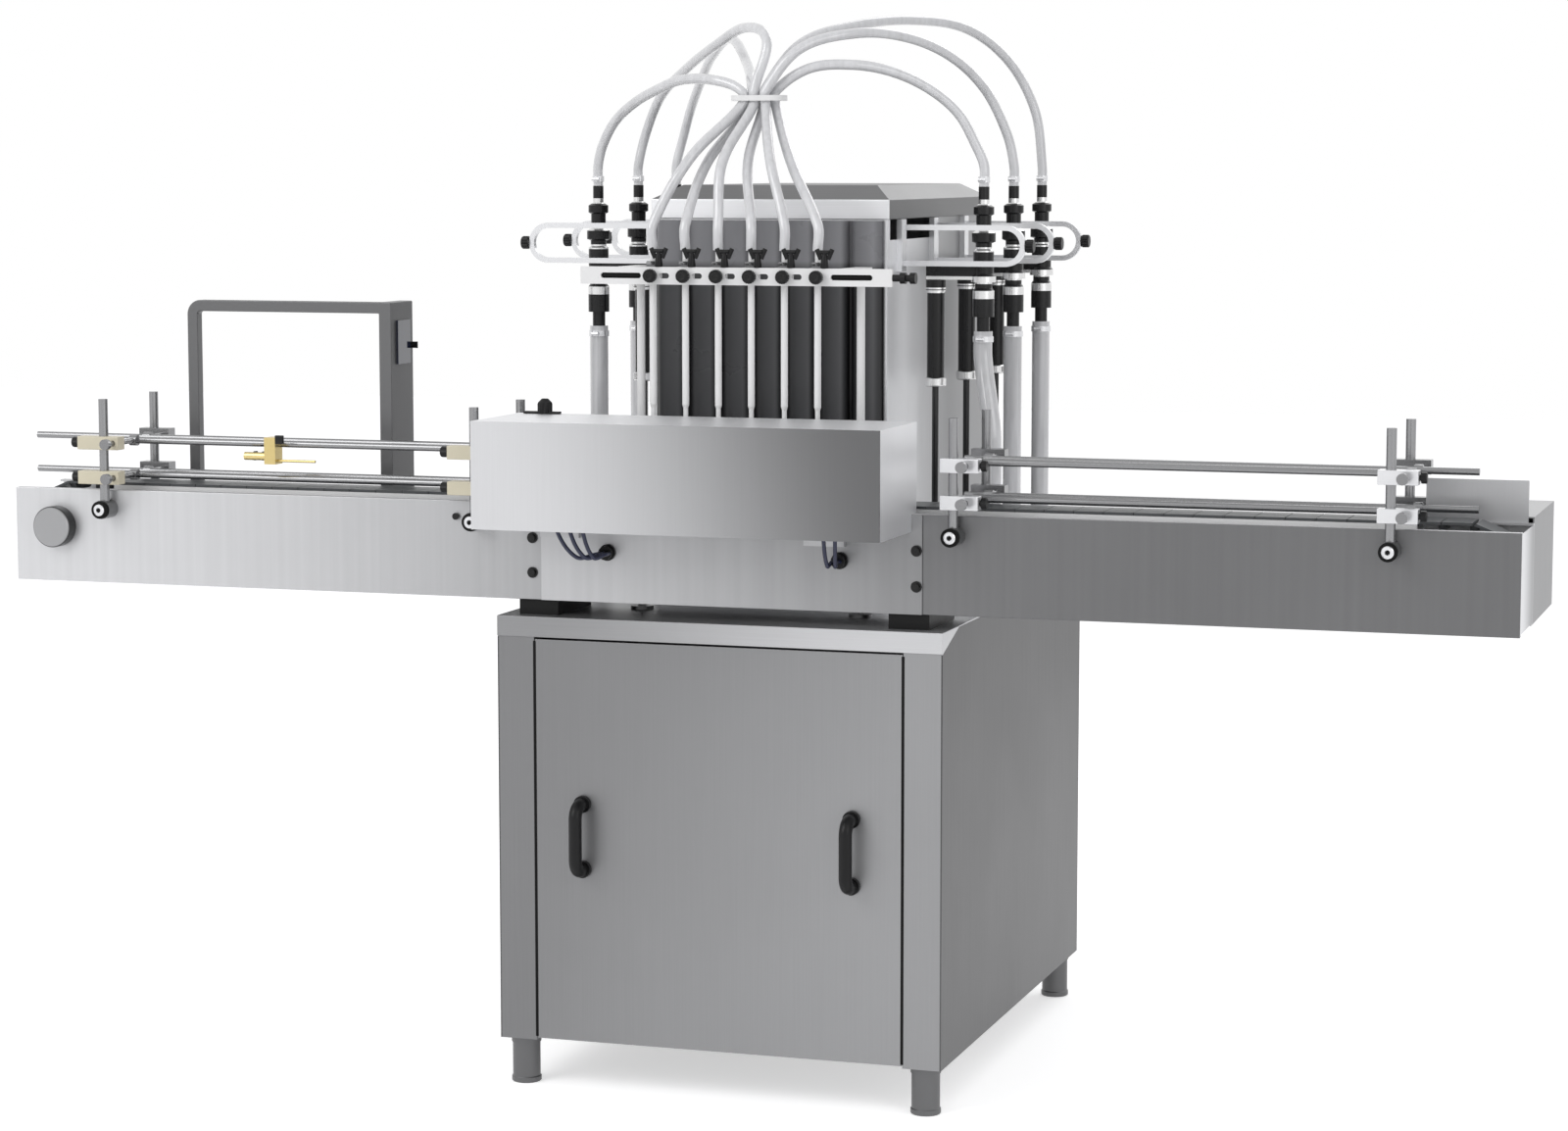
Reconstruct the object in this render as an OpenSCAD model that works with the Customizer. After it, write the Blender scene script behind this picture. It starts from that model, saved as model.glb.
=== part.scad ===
// In-line piston filling machine with six diving nozzles over a slat conveyor.
// Millimetres. Z is up, X runs along the conveyor, the front faces -Y.
// The origin is on the floor, under the centre of the whole machine.

/* [Cabinet] */
// Width of the cabinet
cab_w = 672; // [640:1:720]
// Depth of the cabinet, from front lip to back panel
cab_d = 838; // [826:1:900]
// Height of the cabinet above its feet
cab_h = 627; // [600:1:700]
// Height of the feet
foot_h = 69; // [55:1:90]
// Diameter of a foot tube
foot_dia = 44; // [36:1:50]
// Face width of the corner posts
post_w = 55; // [48:1:60]
// Thickness of the sheet metal
sheet_t = 2; // [1.5:0.5:3]
// Height of the front lip of the top
lip_h = 30; // [24:1:40]
// Length of the lip's tapered ends
lip_len = 90; // [60:1:110]
// Gap round the door
door_gap = 3; // [2:0.5:5]
// Depth of the door pan
door_t = 20; // [15:1:24]
// Height of a door handle
handle_h = 115; // [90:1:140]
// Distance of a door handle from the middle of the door
handle_x = 204; // [150:1:225]

/* [Conveyor] */
// Length of the side plates
conv_l = 2260; // [2258:1:2400]
// Width over the side plates
conv_w = 150; // [146:1:160]
// Height of the side plates
plate_h = 141; // [138:1:160]
// Thickness of the side plates
plate_t = 3; // [2:0.5:4]
// Gap between the cabinet top and the side plates
conv_gap = 23; // [16:1:40]
// Set-back of the front plate behind the cabinet's front
cab_lead = 17; // [12:1:30]
// Distance between the hinge pins of the slat chain
slat_pitch = 42.4; // [41.4:0.1:42.4]
// Width of a slat
slat_w = 70; // [60:1:72]
// Height of the slats' top over the side plates
slat_rise = 8; // [6:1:12]
// Teeth on a sprocket, an even number
teeth = 8; // [8:2:8]

/* [Guides] */
// Diameter of the guide posts
gpost_dia = 14; // [10:1:14]
// Top of the guide posts above the side plates
gpost_top = 138; // [120:1:160]
// Diameter of the guide rails
rail_dia = 10; // [8:1:12]
// Height of the lower rail above the side plates
rail_low = 20; // [19:1:30]
// Height between the two rails
rail_step = 52; // [40:1:60]
// Free width between front and rear rails
lane_w = 46; // [40:1:52]

/* [Cover] */
// Width of the cover over the bottle stops
cover_w = 601; // [520:1:610]
// Reach of the cover in front of the side plate
cover_d = 161; // [130:1:190]
// Height of the cover
cover_h = 153; // [140:1:170]
// Height of the cover's lower edge below the top of the side plates
cover_drop = 24; // [15:1:40]

/* [Filling head] */
// Length of the nozzle bar
bar_l = 470; // [460:1:490]
// Height of the nozzle bar
bar_h = 25; // [20:1:30]
// Thickness of the nozzle bar
bar_t = 8; // [6:1:9]
// Underside of the nozzle bar above the side plates
bar_rise = 316; // [300:1:330]
// Number of nozzles
nozzle_count = 6; // [6:1:6]
// Distance between nozzles
nozzle_pitch = 50; // [46:1:52]
// Diameter of a nozzle
nozzle_dia = 10; // [8:1:12]
// Height of the nozzle tips above the side plates
tip_rise = 125; // [120:1:140]
// Diameter of the dive rods
dive_dia = 12; // [10:1:12]

/* [Pumps] */
// Distance of the pumps from the middle of the tower
pump_x = 231; // [222:1:240]
// Distance of the valve stacks from the middle of the tower
valve_x = 304; // [296:1:308]
// Distance between the three rows of pumps
pump_step = 178; // [160:1:180]
// First row of pumps behind the front side plate
pump_back = 337; // [320:1:350]
// Diameter of a pump barrel
barrel_dia = 26; // [22:1:30]
// Diameter of a pump piston
piston_dia = 18; // [14:1:20]
// Diameter of the suction hoses
suction_dia = 28; // [24:1:30]
// Diameter of the fill hoses
hose_dia = 15; // [12:1:15]

/* [Tower] */
// Width of the tower
tower_w = 362; // [340:1:370]
// Depth of the tower
tower_d = 560; // [540:1:565]
// Height of the tower above the cabinet, without its lid
tower_h = 581; // [560:1:600]
// Front of the tower behind the front side plate
tower_back = 250; // [235:1:255]
// Height of the lid's band
lid_h = 19; // [14:1:30]
// Rise of the lid's hipped top
lid_rise = 21; // [12:1:30]

/* [Portal] */
// Width of the portal arch
portal_w = 340; // [260:1:360]
// Height of the portal arch above the side plates
portal_h = 281; // [240:1:320]
// Width of the arch's tube
portal_t = 17; // [14:1:20]
// Depth of the control pillar
pillar_d = 81; // [70:1:100]
// Outer edge of the arch, left of the middle
portal_x = 913; // [900:1:930]

/* [Hidden] */
$fn = 40;

// Cuts run past their faces by this much
cut = 1;
// Gap between a fixed piece and its seat, and clearance of a sliding fit on its radius
seat = 0.2;
slip = 0.05;

// Heights
cab_z = foot_h;
top_z = cab_z + cab_h;
conv_z = top_z + conv_gap;
belt_z = conv_z + plate_h;
// Depths: the machine is centred, so the front plate's place follows from what stands before and behind
depth_all = cover_d - cab_lead + cab_d;
plate_y = cover_d - depth_all / 2;
cab_y = plate_y - cab_lead;
cab_back = cab_y + cab_d;
lane_y = plate_y + conv_w / 2;
rear_y = plate_y + conv_w;
// The filling head sits a little off the middle of the conveyor
head_dx = -5;
bar_dx = 6;
cover_dx = -14;

// A box given by its lowest corner and its size
module block(corner, size) translate(corner) cube(size);
// A rod along Y that starts at a point
module rod_y(start, r, l) translate(start) rotate([-90, 0, 0]) cylinder(r = r, h = l);
// A rod along X that starts at a point
module rod_x(start, r, l) translate(start) rotate([0, 90, 0]) cylinder(r = r, h = l);
// A rod along Z that starts at a point
module rod_z(start, r, l) translate(start) cylinder(r = r, h = l);
// A box with rounded vertical edges
module round_block(size, r) {
    linear_extrude(size.z) hull()
        for (x = [r, size.x - r], y = [r, size.y - r]) translate([x, y]) circle(r = r, $fn = 32);
}

// Cabinet
angle_w = 30;
angle_t = 3;
lip_t = 2;
frame_w = cab_w - 2 * sheet_t;
frame_y = cab_y + lip_t;
frame_back = cab_back - sheet_t;
deck_z = top_z - sheet_t;
post_wall = 2;

module corner_post() {
    difference() {
        cube([post_w, post_w, cab_h - sheet_t]);
        translate([post_wall, post_wall, angle_t])
            cube([post_w - 2 * post_wall, post_w - 2 * post_wall, cab_h]);
    }
}

// An angle iron along X with its corner at the origin
module angle_x(l) {
    rotate([90, 0, 90]) linear_extrude(l)
        polygon([[0, 0], [angle_w, 0], [angle_w, angle_t], [angle_t, angle_t], [angle_t, angle_w],
            [0, angle_w]]);
}

module cabinet_frame() color("silver") {
    span_x = frame_w - 2 * post_w;
    span_y = frame_back - frame_y - 2 * post_w;
    inner_x = frame_w / 2 - post_w;
    for (x = [-frame_w / 2, inner_x], y = [frame_y, frame_back - post_w])
        translate([x, y, cab_z]) corner_post();
    // Bottom ring, its flanges carry the floor
    translate([-inner_x, frame_y + door_t + seat, cab_z]) angle_x(span_x);
    translate([inner_x, frame_back, cab_z]) rotate([0, 0, 180]) angle_x(span_x);
    for (side = [-1, 1]) {
        translate([side * frame_w / 2, side > 0 ? frame_y + post_w : frame_back - post_w, cab_z])
            rotate([0, 0, side * 90]) angle_x(span_y);
        // Top ring, under the deck
        translate([side * frame_w / 2, side > 0 ? frame_back - post_w : frame_y + post_w, deck_z])
            rotate([0, 0, side * -90]) rotate([180, 0, 0]) angle_x(span_y);
    }
    translate([-inner_x, frame_back, deck_z]) rotate([180, 0, 0]) angle_x(span_x);
}

// Side panels lose a corner to the tapered end of the top's lip
module side_panel(x) color("lightslategray") {
    translate([x, 0, 0]) rotate([90, 0, 90]) linear_extrude(sheet_t)
        polygon([[frame_y, cab_z], [cab_back, cab_z], [cab_back, deck_z],
            [cab_y + lip_len, deck_z], [frame_y, deck_z - lip_h * (1 - lip_t / lip_len)]]);
}
module side_panel_left() side_panel(-cab_w / 2);
module side_panel_right() side_panel(cab_w / 2 - sheet_t);

vent_rows = 7;
vent_w = 180;
vent_h = 6;
vent_step = 22;

module rear_panel() color("lightslategray") {
    vent_z = cab_z + cab_h / 2;
    difference() {
        block([-frame_w / 2, frame_back, cab_z], [frame_w, sheet_t, cab_h - sheet_t]);
        for (i = [0 : vent_rows - 1])
            block([-vent_w / 2, frame_back - cut, vent_z + i * vent_step],
                [vent_w, sheet_t + 2 * cut, vent_h]);
    }
}

module cabinet_floor() color("silver") {
    inset = post_w + seat;
    block([-frame_w / 2 + angle_t + seat, frame_y + inset, cab_z + angle_t],
        [frame_w - 2 * (angle_t + seat), frame_back - frame_y - 2 * inset, sheet_t]);
}

// Places in the deck
row_y = [for (i = [0 : 2]) plate_y + pump_back + i * pump_step];
bush_r = 12;
bush_flange_r = 17;
bush_flange_t = 5;
bush_l = 30;
dive_x = 168;
dive_back = 123;
dive_y = plate_y + dive_back;
piston_rod_r = 5;
gland_r = 20;
gland_h = 12;

module cabinet_top() color("gainsboro") {
    difference() {
        block([-cab_w / 2, cab_y, deck_z], [cab_w, cab_d, sheet_t]);
        for (x = [-dive_x, dive_x]) rod_z([bar_dx + x, dive_y, deck_z - cut], bush_r + seat, sheet_t + 2 * cut);
        for (x = [-pump_x, pump_x], y = row_y)
            rod_z([head_dx + x, y, deck_z - cut], bush_r + seat, sheet_t + 2 * cut);
        for (x = [-valve_x, valve_x], y = row_y)
            rod_z([head_dx + x, y, deck_z - cut], suction_dia / 2 - sheet_t, sheet_t + 2 * cut);
    }
    // Front lip and its tapered ends
    block([-cab_w / 2, cab_y, top_z - lip_h], [cab_w, lip_t, lip_h - sheet_t]);
    for (x = [-cab_w / 2, cab_w / 2 - sheet_t])
        translate([x, 0, 0]) rotate([90, 0, 90]) linear_extrude(sheet_t)
            polygon([[cab_y + lip_t, deck_z], [cab_y + lip_t, deck_z - lip_h * (1 - lip_t / lip_len)],
                [cab_y + lip_len, deck_z]]);
}

foot_pad_h = 9;
foot_step = 1.5;

module levelling_feet() color("silver") {
    r = foot_dia / 2;
    inset = post_w / 2;
    for (x = [-frame_w / 2 + inset, frame_w / 2 - inset], y = [frame_y + inset, frame_back - inset])
        translate([x, y, 0]) rotate_extrude()
            polygon([[0, 0], [r - foot_step, 0], [r, foot_step], [r, foot_pad_h - foot_step],
                [r - foot_step, foot_pad_h], [r - foot_step, foot_h - foot_pad_h],
                [r, foot_h - foot_pad_h], [r, foot_h], [0, foot_h]]);
}

// Lift-off door
door_w = cab_w - 2 * post_w - 2 * door_gap;
door_z = cab_z + door_gap;
door_h = cab_h - lip_h - 2 * door_gap;
grip_r = 9.5;
grip_out = 33;
grip_foot_r = 12.5;
grip_foot_t = 7;
handle_lift = 9;

module door_panel() color("darkgray") {
    difference() {
        block([-door_w / 2, frame_y, door_z], [door_w, door_t, door_h]);
        block([-door_w / 2 + sheet_t, frame_y + sheet_t, door_z + sheet_t],
            [door_w - 2 * sheet_t, door_t + cut, door_h - 2 * sheet_t]);
    }
}

module bow_handle() {
    half = handle_h / 2 - grip_r;
    bend = 2 * grip_r;
    for (s = [-1, 1]) {
        rod_y([0, -grip_foot_t, s * half], grip_foot_r, grip_foot_t);
        rod_y([0, -grip_out + bend, s * half], grip_r, grip_out - bend);
        translate([0, -grip_out + bend, s * (half - bend)]) rotate([0, 0, 180]) rotate([0, -90 * s, 0])
            rotate_extrude(angle = 90) translate([bend, 0]) circle(r = grip_r);
    }
    rod_z([0, -grip_out, -half + bend], grip_r, 2 * (half - bend));
}

module door_handles() color("#1a1a1a") {
    for (s = [-1, 1]) translate([s * handle_x, frame_y, door_z + door_h / 2 + handle_lift]) bow_handle();
}

// Conveyor side plates: folded channels
flange_w = 14;
shaft_r = 10;
shaft_hole_r = 14;
sprocket_r = slat_pitch / 2 / sin(180 / teeth);
slat_up = 10;
slat_t = 4;
pivot_z = belt_z + slat_rise - slat_up;
shaft_z = pivot_z - sprocket_r;
// As many slats as fit between the rooms for the two turns
shaft_room = 69;
slat_count = floor((conv_l - 2 * shaft_room) / slat_pitch);
shaft_x = slat_pitch * slat_count / 2;

// A side plate with its flanges turned towards +Y, bored for the shafts at some X
module side_plate(bores) {
    difference() {
        translate([-conv_l / 2, 0, 0]) rotate([90, 0, 90]) linear_extrude(conv_l)
            polygon([[0, conv_z], [flange_w, conv_z], [flange_w, conv_z + plate_t], [plate_t, conv_z + plate_t],
                [plate_t, belt_z - plate_t], [flange_w, belt_z - plate_t], [flange_w, belt_z], [0, belt_z]]);
        for (x = bores) rod_y([x, -cut, shaft_z], shaft_hole_r, plate_t + 2 * cut);
    }
}

dive_hole_r = dive_dia / 2 + 2 * seat;
strip_l = 140;
strip_high = 58;
strip_gap = 8;

module front_side_plate() color("lightgray") translate([0, plate_y, 0]) side_plate([-shaft_x]);

// The rear plate carries a raised flat strip at the outfeed
module rear_side_plate() color("lightgray") {
    translate([0, rear_y, 0]) mirror([0, 1, 0]) side_plate([-shaft_x, shaft_x]);
    block([conv_l / 2 - strip_l - strip_gap, rear_y - plate_t, belt_z - plate_t], [strip_l, plate_t, strip_high + plate_t]);
}

cross_r = 12;
cross_count = 7;
bar_w = 30;
mount_w = 60;
mount_x = 280;
mount_in = 8;

module cross_members() color("silver") {
    step = 2 * shaft_x / cross_count;
    for (i = [0 : cross_count - 1]) {
        x = -shaft_x + (i + 0.5) * step;
        rod_y([x, plate_y + plate_t, shaft_z], cross_r, conv_w - 2 * plate_t);
        block([x - bar_w / 2, plate_y + plate_t, conv_z + plate_t], [bar_w, conv_w - 2 * plate_t, plate_t]);
    }
    // Blocks between the cabinet and the side plates
    for (s = [-1, 1])
        block([s * mount_x - mount_w / 2, plate_y + mount_in, top_z], [mount_w, conv_w - 2 * mount_in, conv_gap]);
}

// Plastic strips that carry the upper run on the cross tubes and the lower run on the bottom bars
wear_w = 8;
wear_gap = 0.3;
wear_end = 75;

module wear_strips() color("whitesmoke") {
    l = 2 * (shaft_x - wear_end);
    upper_z = shaft_z + cross_r;
    lower_z = conv_z + 2 * plate_t;
    for (s = [-1, 1]) {
        y = lane_y + s * (slat_w / 2 - wear_w / 2) - wear_w / 2;
        block([-l / 2, y, upper_z], [l, wear_w, pivot_z + slat_up - slat_t - wear_gap - upper_z]);
        block([-l / 2, y, lower_z], [l, wear_w, shaft_z - sprocket_r - slat_up - wear_gap - lower_z]);
    }
}

// Slat chain: each plate has one eye at its start and two eyes with the pin at its end
eye_r = 5;
pin_r = 3;
pin_gap = 0.1;
mid_eye_w = 22;
side_eye_w = 11;
eye_gap = 0.5;
slat_gap = 1;

module slat() {
    web_h = slat_up - slat_t;
    side_y = mid_eye_w / 2 + eye_gap;
    block([slat_gap / 2, -slat_w / 2, web_h], [slat_pitch - slat_gap, slat_w, slat_t]);
    difference() {
        union() {
            rod_y([0, -mid_eye_w / 2, 0], eye_r, mid_eye_w);
            block([slat_gap / 2, -mid_eye_w / 2, 0], [eye_r - slat_gap / 2, mid_eye_w, web_h]);
        }
        rod_y([0, -mid_eye_w / 2 - cut, 0], pin_r + pin_gap, mid_eye_w + 2 * cut);
    }
    translate([slat_pitch, 0, 0]) {
        for (y = [-side_y - side_eye_w, side_y]) {
            rod_y([0, y, 0], eye_r, side_eye_w);
            block([-eye_r, y, 0], [eye_r - slat_gap / 2, side_eye_w, web_h]);
        }
        rod_y([0, -side_y - side_eye_w, 0], pin_r, 2 * (side_y + side_eye_w));
    }
}

module slat_chain() color("dimgray") translate([0, lane_y, shaft_z]) {
    turn = 360 / teeth;
    for (i = [0 : slat_count - 1]) {
        translate([-shaft_x + i * slat_pitch, 0, sprocket_r]) slat();
        translate([shaft_x - i * slat_pitch, 0, -sprocket_r]) rotate([0, 180, 0]) slat();
    }
    for (side = [0, 1], k = [0 : teeth / 2 - 1])
        translate([side == 0 ? shaft_x : -shaft_x, 0, 0])
            rotate([0, side * 180 + k * turn, 0]) translate([0, 0, sprocket_r]) rotate([0, turn / 2, 0]) slat();
}

// Sprockets: a toothed disc on each shaft, its tips just inside the eyes
tooth_gap = 0.8;
tooth_depth = 7;
sprocket_t = 20;
hub_r = 20;
hub_l = 60;
spoke_hole_r = 8;

module sprocket() {
    tip_r = sprocket_r - eye_r - tooth_gap;
    rotate([90, 0, 0]) difference() {
        union() {
            translate([0, 0, -sprocket_t / 2]) cylinder(r = tip_r, h = sprocket_t);
            translate([0, 0, -hub_l / 2]) cylinder(r = hub_r, h = hub_l);
        }
        for (i = [0 : teeth - 1]) rotate([0, 0, i * 360 / teeth]) {
            translate([tip_r, 0, -sprocket_t / 2 - cut]) cylinder(r = tooth_depth, h = sprocket_t + 2 * cut);
            rotate([0, 0, 180 / teeth]) translate([(tip_r + hub_r) / 2, 0, -sprocket_t / 2 - cut])
                cylinder(r = spoke_hole_r, h = sprocket_t + 2 * cut);
        }
    }
}

bearing_r = 26;
bearing_t = 12;
bearing_seat_r = 18;
bearing_flange_t = 4;
collar_r = 16;
collar_l = 8;
drive_reach = 60;

module idler_shaft() color("silver") translate([-shaft_x, lane_y, shaft_z]) {
    rod_y([0, -conv_w / 2, 0], shaft_r, conv_w);
    sprocket();
}

module drive_shaft() color("silver") translate([shaft_x, lane_y, shaft_z]) {
    rod_y([0, -conv_w / 2 + plate_t + seat, 0], shaft_r, conv_w - plate_t - seat + drive_reach);
    sprocket();
}

// Flanged bearings inside the side plates
module flange_bearing() {
    difference() {
        union() {
            cylinder(r = bearing_r, h = bearing_flange_t);
            cylinder(r = bearing_seat_r, h = bearing_t);
        }
        translate([0, 0, -cut]) cylinder(r = shaft_r + slip, h = bearing_t + 2 * cut);
    }
}

module shaft_bearings() color("slategray") {
    for (x = [-shaft_x, shaft_x]) {
        translate([x, plate_y + plate_t, shaft_z]) rotate([-90, 0, 0]) flange_bearing();
        translate([x, rear_y - plate_t, shaft_z]) rotate([90, 0, 0]) flange_bearing();
    }
}

cap_r = 31;
cap_out = 22;
cap_wall = 3;
cap_round = 3;

// Round cup over the idler's front bearing
module bearing_cap() color("silver") {
    translate([-shaft_x, plate_y, shaft_z]) rotate([90, 0, 0]) rotate_extrude()
        polygon([[cap_r - cap_wall, 0], [cap_r, 0], [cap_r, cap_out - cap_round],
            [cap_r - cap_round, cap_out], [0, cap_out], [0, cap_out - cap_wall],
            [cap_r - cap_wall, cap_out - cap_wall]]);
}

// Housing of the drive behind the outfeed, with the plate that closes the conveyor's end
house_w = 143;
house_d = 250;
house_up = 8;
gear_w = 90;
gear_h = 100;
motor_r = 42;
motor_l = 118;
fin_count = 9;
fin_t = 3;

module drive_housing() color("gainsboro") {
    x1 = conv_l / 2;
    h = plate_h + house_up;
    difference() {
        block([x1 - house_w, rear_y, conv_z], [house_w, house_d, h]);
        block([x1 - house_w + sheet_t, rear_y - cut, conv_z + sheet_t],
            [house_w - 2 * sheet_t, house_d - sheet_t + cut, h - 2 * sheet_t]);
    }
    block([x1 - sheet_t, plate_y + plate_t, conv_z + plate_t], [sheet_t, conv_w - 2 * plate_t, plate_h - 2 * plate_t]);
}

module gearmotor() color("steelblue") {
    gear_y = rear_y + bar_w;
    difference() {
        block([shaft_x - gear_w / 2, gear_y, shaft_z - gear_h / 2], [gear_w, gear_w, gear_h]);
        rod_y([shaft_x, gear_y - cut, shaft_z], shaft_r + slip, drive_reach);
    }
    // Foot that stands on the housing's floor
    block([shaft_x - gear_w / 4, gear_y, conv_z + sheet_t], [gear_w / 2, gear_w, shaft_z - gear_h / 3 - conv_z - sheet_t]);
    motor_y = gear_y + gear_w;
    rod_y([shaft_x, motor_y - fin_t, shaft_z], motor_r - fin_t, motor_l + fin_t);
    for (i = [0 : fin_count - 1])
        rod_y([shaft_x, motor_y + (i + 0.5) * motor_l / fin_count, shaft_z], motor_r, fin_t);
}

// Plate over the middle of the front side plate
mid_x0 = -272;
mid_x1 = 302;
mid_t = 3;
bolt_r = 5;
bolt_t = 5;
bolt_z_shares = [0.28, 0.64];
bolt_off = 14;
screw_x = -405;
screw_drop = 23;

module middle_plate() color("lightgray") {
    block([mid_x0, plate_y - mid_t, conv_z], [mid_x1 - mid_x0, mid_t, plate_h]);
}

module plate_bolts() color("#222222") {
    // The left pair sits in the side plate, the right pair in the middle plate
    for (at = [[mid_x0 - bolt_off, plate_y], [mid_x1 - bolt_r * 1.6, plate_y - mid_t]], share = bolt_z_shares) {
        rod_y([at.x, at.y - bolt_t, conv_z + plate_h * share], bolt_r, bolt_t);
        rod_y([at.x, at.y - bolt_t / 3, conv_z + plate_h * share], bolt_r * 1.6, bolt_t / 3);
    }
    rod_y([screw_x, plate_y - bolt_t, belt_z - screw_drop], bolt_r, bolt_t);
}

// Guide posts stand in bored bosses on the side plates
post_in_left = 159;
post_in_right = 173;
post_rear_left = 149;
post_off_left = 55.5;
post_off_right = 63.5;
inner_post_x = [cover_dx - cover_w / 2 - post_off_left, cover_dx + cover_w / 2 + post_off_right];
front_post_x = [-conv_l / 2 + post_in_left, inner_post_x[0], inner_post_x[1], conv_l / 2 - post_in_right];
rear_post_x = [-conv_l / 2 + post_rear_left, inner_post_x[0], inner_post_x[1], conv_l / 2 - post_in_right];
gpost_out = 15;
boss_r = 14;
boss_l = 28;
boss_drop = 28;
post_floor = 6;
gpost_r = gpost_dia / 2;
gpost_z = belt_z - boss_drop - boss_r + post_floor;
front_post_y = plate_y - gpost_out;
rear_post_y = rear_y + gpost_out;
set_screw_r = 4;
set_screw_l = 6;

module boss(x, y) {
    difference() {
        rod_y([x, y, belt_z - boss_drop], boss_r, boss_l);
        rod_z([x, y + (y < lane_y ? boss_l - gpost_out : gpost_out), gpost_z - cut], gpost_r + slip,
            belt_z - gpost_z + cut);
    }
    rod_y([x, y < lane_y ? y - set_screw_l : y + boss_l, belt_z - boss_drop], set_screw_r, set_screw_l);
}

module post_bosses() color("silver") {
    for (x = front_post_x) boss(x, plate_y - boss_l);
    for (x = rear_post_x) boss(x, rear_y);
}

module guide_posts() color("silver") {
    h = belt_z + gpost_top - gpost_z;
    for (x = front_post_x) rod_z([x, front_post_y, gpost_z], gpost_r, h);
    for (x = rear_post_x) rod_z([x, rear_post_y, gpost_z], gpost_r, h);
}

// Cross blocks slide on the posts, rods in them carry the rails
xblock_left = [-39, 29];
xblock_right = [-17, 38];
xblock_rear = [-20, 30];
xblock_h = 20;
xblock_d = 22;
xrod_r = 4;
xrod_off = 20;
xrod_tail = 21;
clip_r = 8;
clip_w = 12;
clip_back = 3.5;
rail_r = rail_dia / 2;
rail_z = [belt_z + rail_low, belt_z + rail_low + rail_step];
front_rail_y = lane_y - lane_w / 2 - rail_r;
rear_rail_y = lane_y + lane_w / 2 + rail_r;

// A cross block at a post, its rod hole towards +X
module cross_block(x, y, z, ends, bored) {
    difference() {
        translate([x + ends[0], y - xblock_d / 2, z - xblock_h / 2])
            cube([ends[1] - ends[0], xblock_d, xblock_h]);
        rod_z([x, y, z - xblock_h], gpost_r + slip, 2 * xblock_h);
        if (bored) rod_y([x + xrod_off, y - xblock_d, z], xrod_r + slip, 2 * xblock_d);
    }
}

module blocks_front(xs, ends) {
    for (x = xs, z = rail_z) cross_block(x, front_post_y, z, ends, true);
}
module blocks_front_left() color("wheat") blocks_front([front_post_x[0], front_post_x[1]], xblock_left);
module blocks_front_right() color("silver") blocks_front([front_post_x[2], front_post_x[3]], xblock_right);

rail_past = 18;

module rails_front(xs) {
    l = xs[1] - xs[0] + 2 * rail_past;
    tail_y = front_post_y - xblock_d / 2 - xrod_tail;
    for (z = rail_z) {
        rod_x([xs[0] - rail_past, front_rail_y, z], rail_r, l);
        for (x = xs) {
            rod_y([x + xrod_off, tail_y, z], xrod_r, front_rail_y - tail_y);
            rod_y([x + xrod_off, tail_y - xrod_r, z], clip_r, xrod_r * 2);
            rod_x([x + xrod_off - clip_w / 2, front_rail_y - clip_back, z], clip_r, clip_w);
        }
    }
}
module rails_front_left() color("silver") rails_front([front_post_x[0], front_post_x[1]]);
module rails_front_right() color("silver") rails_front([front_post_x[2], front_post_x[3]]);

module rails_rear(xs, x0, x1) {
    for (z = rail_z) {
        rod_x([x0, rear_rail_y, z], rail_r, x1 - x0);
        for (x = xs) {
            cross_block(x, rear_post_y, z, xblock_rear, false);
            rod_y([x + xrod_off, rear_rail_y, z], xrod_r, rear_post_y - rear_rail_y - xblock_d / 2);
            rod_x([x + xrod_off - clip_w / 2, rear_rail_y + clip_back, z], clip_r, clip_w);
        }
    }
}
rear_rail_past = 18;
rear_rail_over = 15;
rear_rail_short = 70;
module rails_rear_left() color("silver")
    rails_rear([rear_post_x[0], rear_post_x[1]], -conv_l / 2 - rear_rail_past, inner_post_x[0] + 2 * rail_past);
module rails_rear_right() color("silver")
    rails_rear([rear_post_x[2], rear_post_x[3]], inner_post_x[1] - rear_rail_over, conv_l / 2 - rear_rail_short);

// Bottle sensor clamped on the upper front rail
sensor_x = -760;
sensor_r = 6;
sensor_l = 36;
sensor_block = [18, 20, 22];
sensor_drop = 18;
feeler_r = 2;
feeler_l = 70;

module bottle_sensor() color("goldenrod") {
    x1 = sensor_x + sensor_l;
    y = front_rail_y - rail_r - sensor_block.y / 2 - seat;
    z = rail_z[1] - sensor_drop;
    rod_x([sensor_x, y, z], sensor_r, sensor_l + feeler_r);
    difference() {
        block([x1, y - sensor_block.y / 2, z - sensor_block.z / 2],
            [sensor_block.x, sensor_block.y + rail_r, sensor_block.z + sensor_drop]);
        rod_x([x1 - cut, front_rail_y, rail_z[1]], rail_r + seat, sensor_block.x + 2 * cut);
    }
    rod_x([x1 + sensor_block.x / 2, y, z - sensor_r], feeler_r, feeler_l);
}

// Cover over the bottle stops, open below and behind
cover_z = belt_z - cover_drop;
cover_back = 22;
cover_gap = 0.5;
knob_r = 9;
knob_h = 12;
knob_x = 45;

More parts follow.
